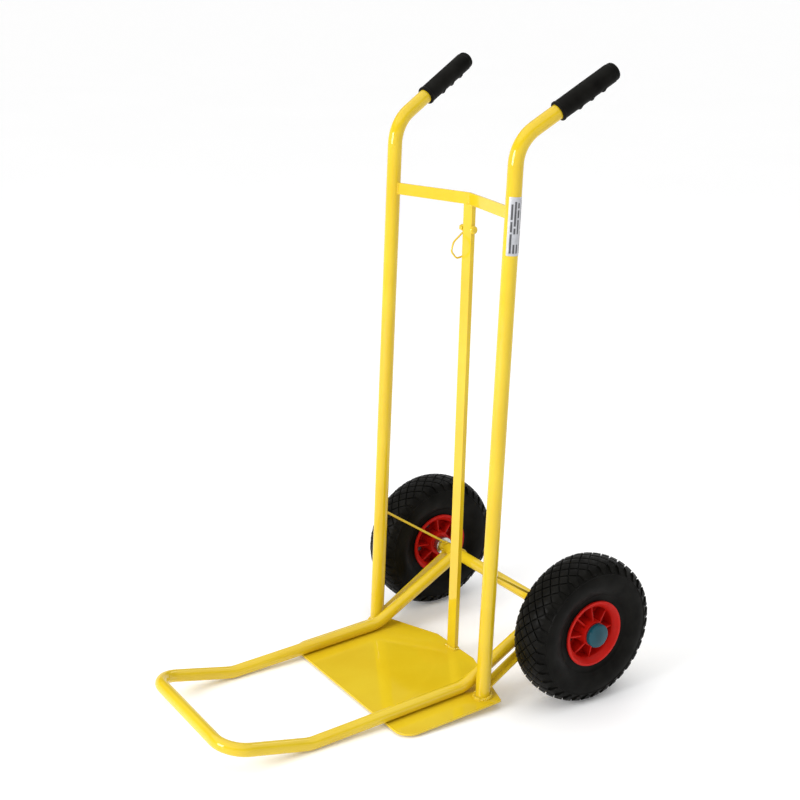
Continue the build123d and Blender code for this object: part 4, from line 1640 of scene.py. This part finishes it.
def direction(azimuth: float, elevation: float) -> Vector:
    """Unit vector towards an azimuth, 0 at the front and a quarter turn on the left, and elevation."""
    flat = cos(elevation)
    return Vector((sin(azimuth) * flat, -cos(azimuth) * flat, sin(elevation)))


@dataclass
class Studio:
    """Pale floor, soft lights and the camera."""

    azimuth: float = radians(56.77)
    elevation: float = radians(16.84)
    roll: float = radians(0.635)
    distance: float = 2.3729
    target: Vector = field(default_factory=lambda: Vector((-0.0974, 0.0930, 0.4759)))
    sensor: float = 36.0
    lens: float = 60.325
    floor_half: float = 3000.0
    floor_colour: tuple[float, float, float] = (0.98, 0.98, 0.98)
    floor_glow: float = 0.09
    floor_shade: float = 0.985
    floor_scale: float = 0.8
    floor_span: Point2 = (0.3, 0.7)
    floor_roughness: float = 0.9
    floor_gloss: float = 0.1
    sky_horizon: float = 0.93
    sky_low: float = 0.12
    sky_high: float = 1.34
    # Sines of the elevations between which the sky dims above the horizon, then brightens
    sky_dim: Point2 = (0.24, 0.38)
    sky_turn: Point2 = (0.50, 0.76)
    light_height: float = 0.5
    softboxes: tuple[Softbox, ...] = (
        Softbox("key", radians(-52), radians(18), distance=3.6, size=1.5, power=86.0),
        Softbox("back", radians(150), radians(35), distance=3.6, size=1.2, power=8.0),
    )

    def floor(self) -> None:
        """Lays the floor."""
        shape = bmesh.new()
        bmesh.ops.create_grid(shape, x_segments=1, y_segments=1, size=self.floor_half)
        piece = new_piece("floor", mesh_from("floor", shape))
        shader = Shader("pale floor")
        pale = tuple(channel * self.floor_shade for channel in self.floor_colour)
        shader.blend(shader.noise(self.floor_scale), pale, self.floor_colour, self.floor_span)
        shader.set(
            Roughness=self.floor_roughness,
            Specular_IOR_Level=self.floor_gloss,
            Emission_Strength=self.floor_glow,
        )
        piece.data.materials.append(shader.material)

    def lights(self) -> None:
        """Sets a sky that is bright overhead, and two softboxes."""
        world = bpy.data.worlds.new("studio")
        world.use_nodes = True
        sketch = NodeSketch(world.node_tree)
        place = sketch.node("ShaderNodeTexCoord").outputs["Generated"]
        height = sketch.node("ShaderNodeSeparateXYZ", {"Vector": place}).outputs["Z"]
        bands = []
        for span, start, end in (
            (self.sky_dim, self.sky_horizon, self.sky_low),
            (self.sky_turn, 0.0, self.sky_high - self.sky_low),
        ):
            band = sketch.node(
                "ShaderNodeMapRange",
                {"Value": height, "From Min": span[0], "From Max": span[1], "To Min": start, "To Max": end},
                interpolation_type="SMOOTHSTEP",
            )
            bands.append(band.outputs[0])
        background = world.node_tree.nodes["Background"]
        background.inputs["Color"].default_value = (1, 1, 1, 1)
        world.node_tree.links.new(sketch.math("ADD", *bands), background.inputs["Strength"])
        bpy.context.scene.world = world
        for box in self.softboxes:
            box.build(Vector((0, 0, self.light_height)), self.azimuth)

    def camera(self) -> None:
        """Places the camera."""
        lens = bpy.data.cameras.new("camera")
        lens.sensor_width = self.sensor
        lens.lens = self.lens
        piece = bpy.data.objects.new("camera", lens)
        bpy.context.scene.collection.objects.link(piece)
        back = direction(self.azimuth, self.elevation)
        level = Vector((cos(self.azimuth), sin(self.azimuth), 0))
        upright = back.cross(level)
        right = level * cos(self.roll) + upright * sin(self.roll)
        up = upright * cos(self.roll) - level * sin(self.roll)
        turned = Matrix((right, up, back)).transposed().to_4x4()
        piece.matrix_world = Matrix.Translation(self.target + back * self.distance) @ turned
        bpy.context.scene.camera = piece

    def build(self) -> None:
        """Makes the whole studio."""
        self.floor()
        self.lights()
        self.camera()
        bpy.context.scene.view_settings.view_transform = "Standard"


def main() -> None:
    """Builds the studio and every visible piece."""
    logging.basicConfig(level=logging.INFO)
    joints = {joint["name"]: joint for joint in frame["joints"]}
    plan = Plan(axle=Vector(joints["nose_fold"]["pos_m"]))
    finishes = build_finishes()
    Studio().build()
    dress_cad_nodes(finishes)
    array = ring_array_tree()
    tyre = Tyre(finishes[Slot.TYRE], array)
    rim = Rim(finishes[Slot.RED], array)
    cap = AxleCap(finishes[Slot.TEAL])
    grip = Grip(plan, finishes[Slot.GRIP])
    for side in Side:
        centre = Vector(joints[f"{side.wheel}_spin"]["pos_m"])
        tyre.build(side, centre)
        rim.build(side, centre, outer=True)
        rim.build(side, centre, outer=False)
        cap.build(side)
        grip.build(side)
    Label(plan, finishes[Slot.FILM]).build()
    FlatStock(finishes[Slot.PAINT]).build()
    Welds(plan, finishes[Slot.PAINT], weld_tree()).build()


if __name__ == "__main__":
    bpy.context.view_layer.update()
    main()
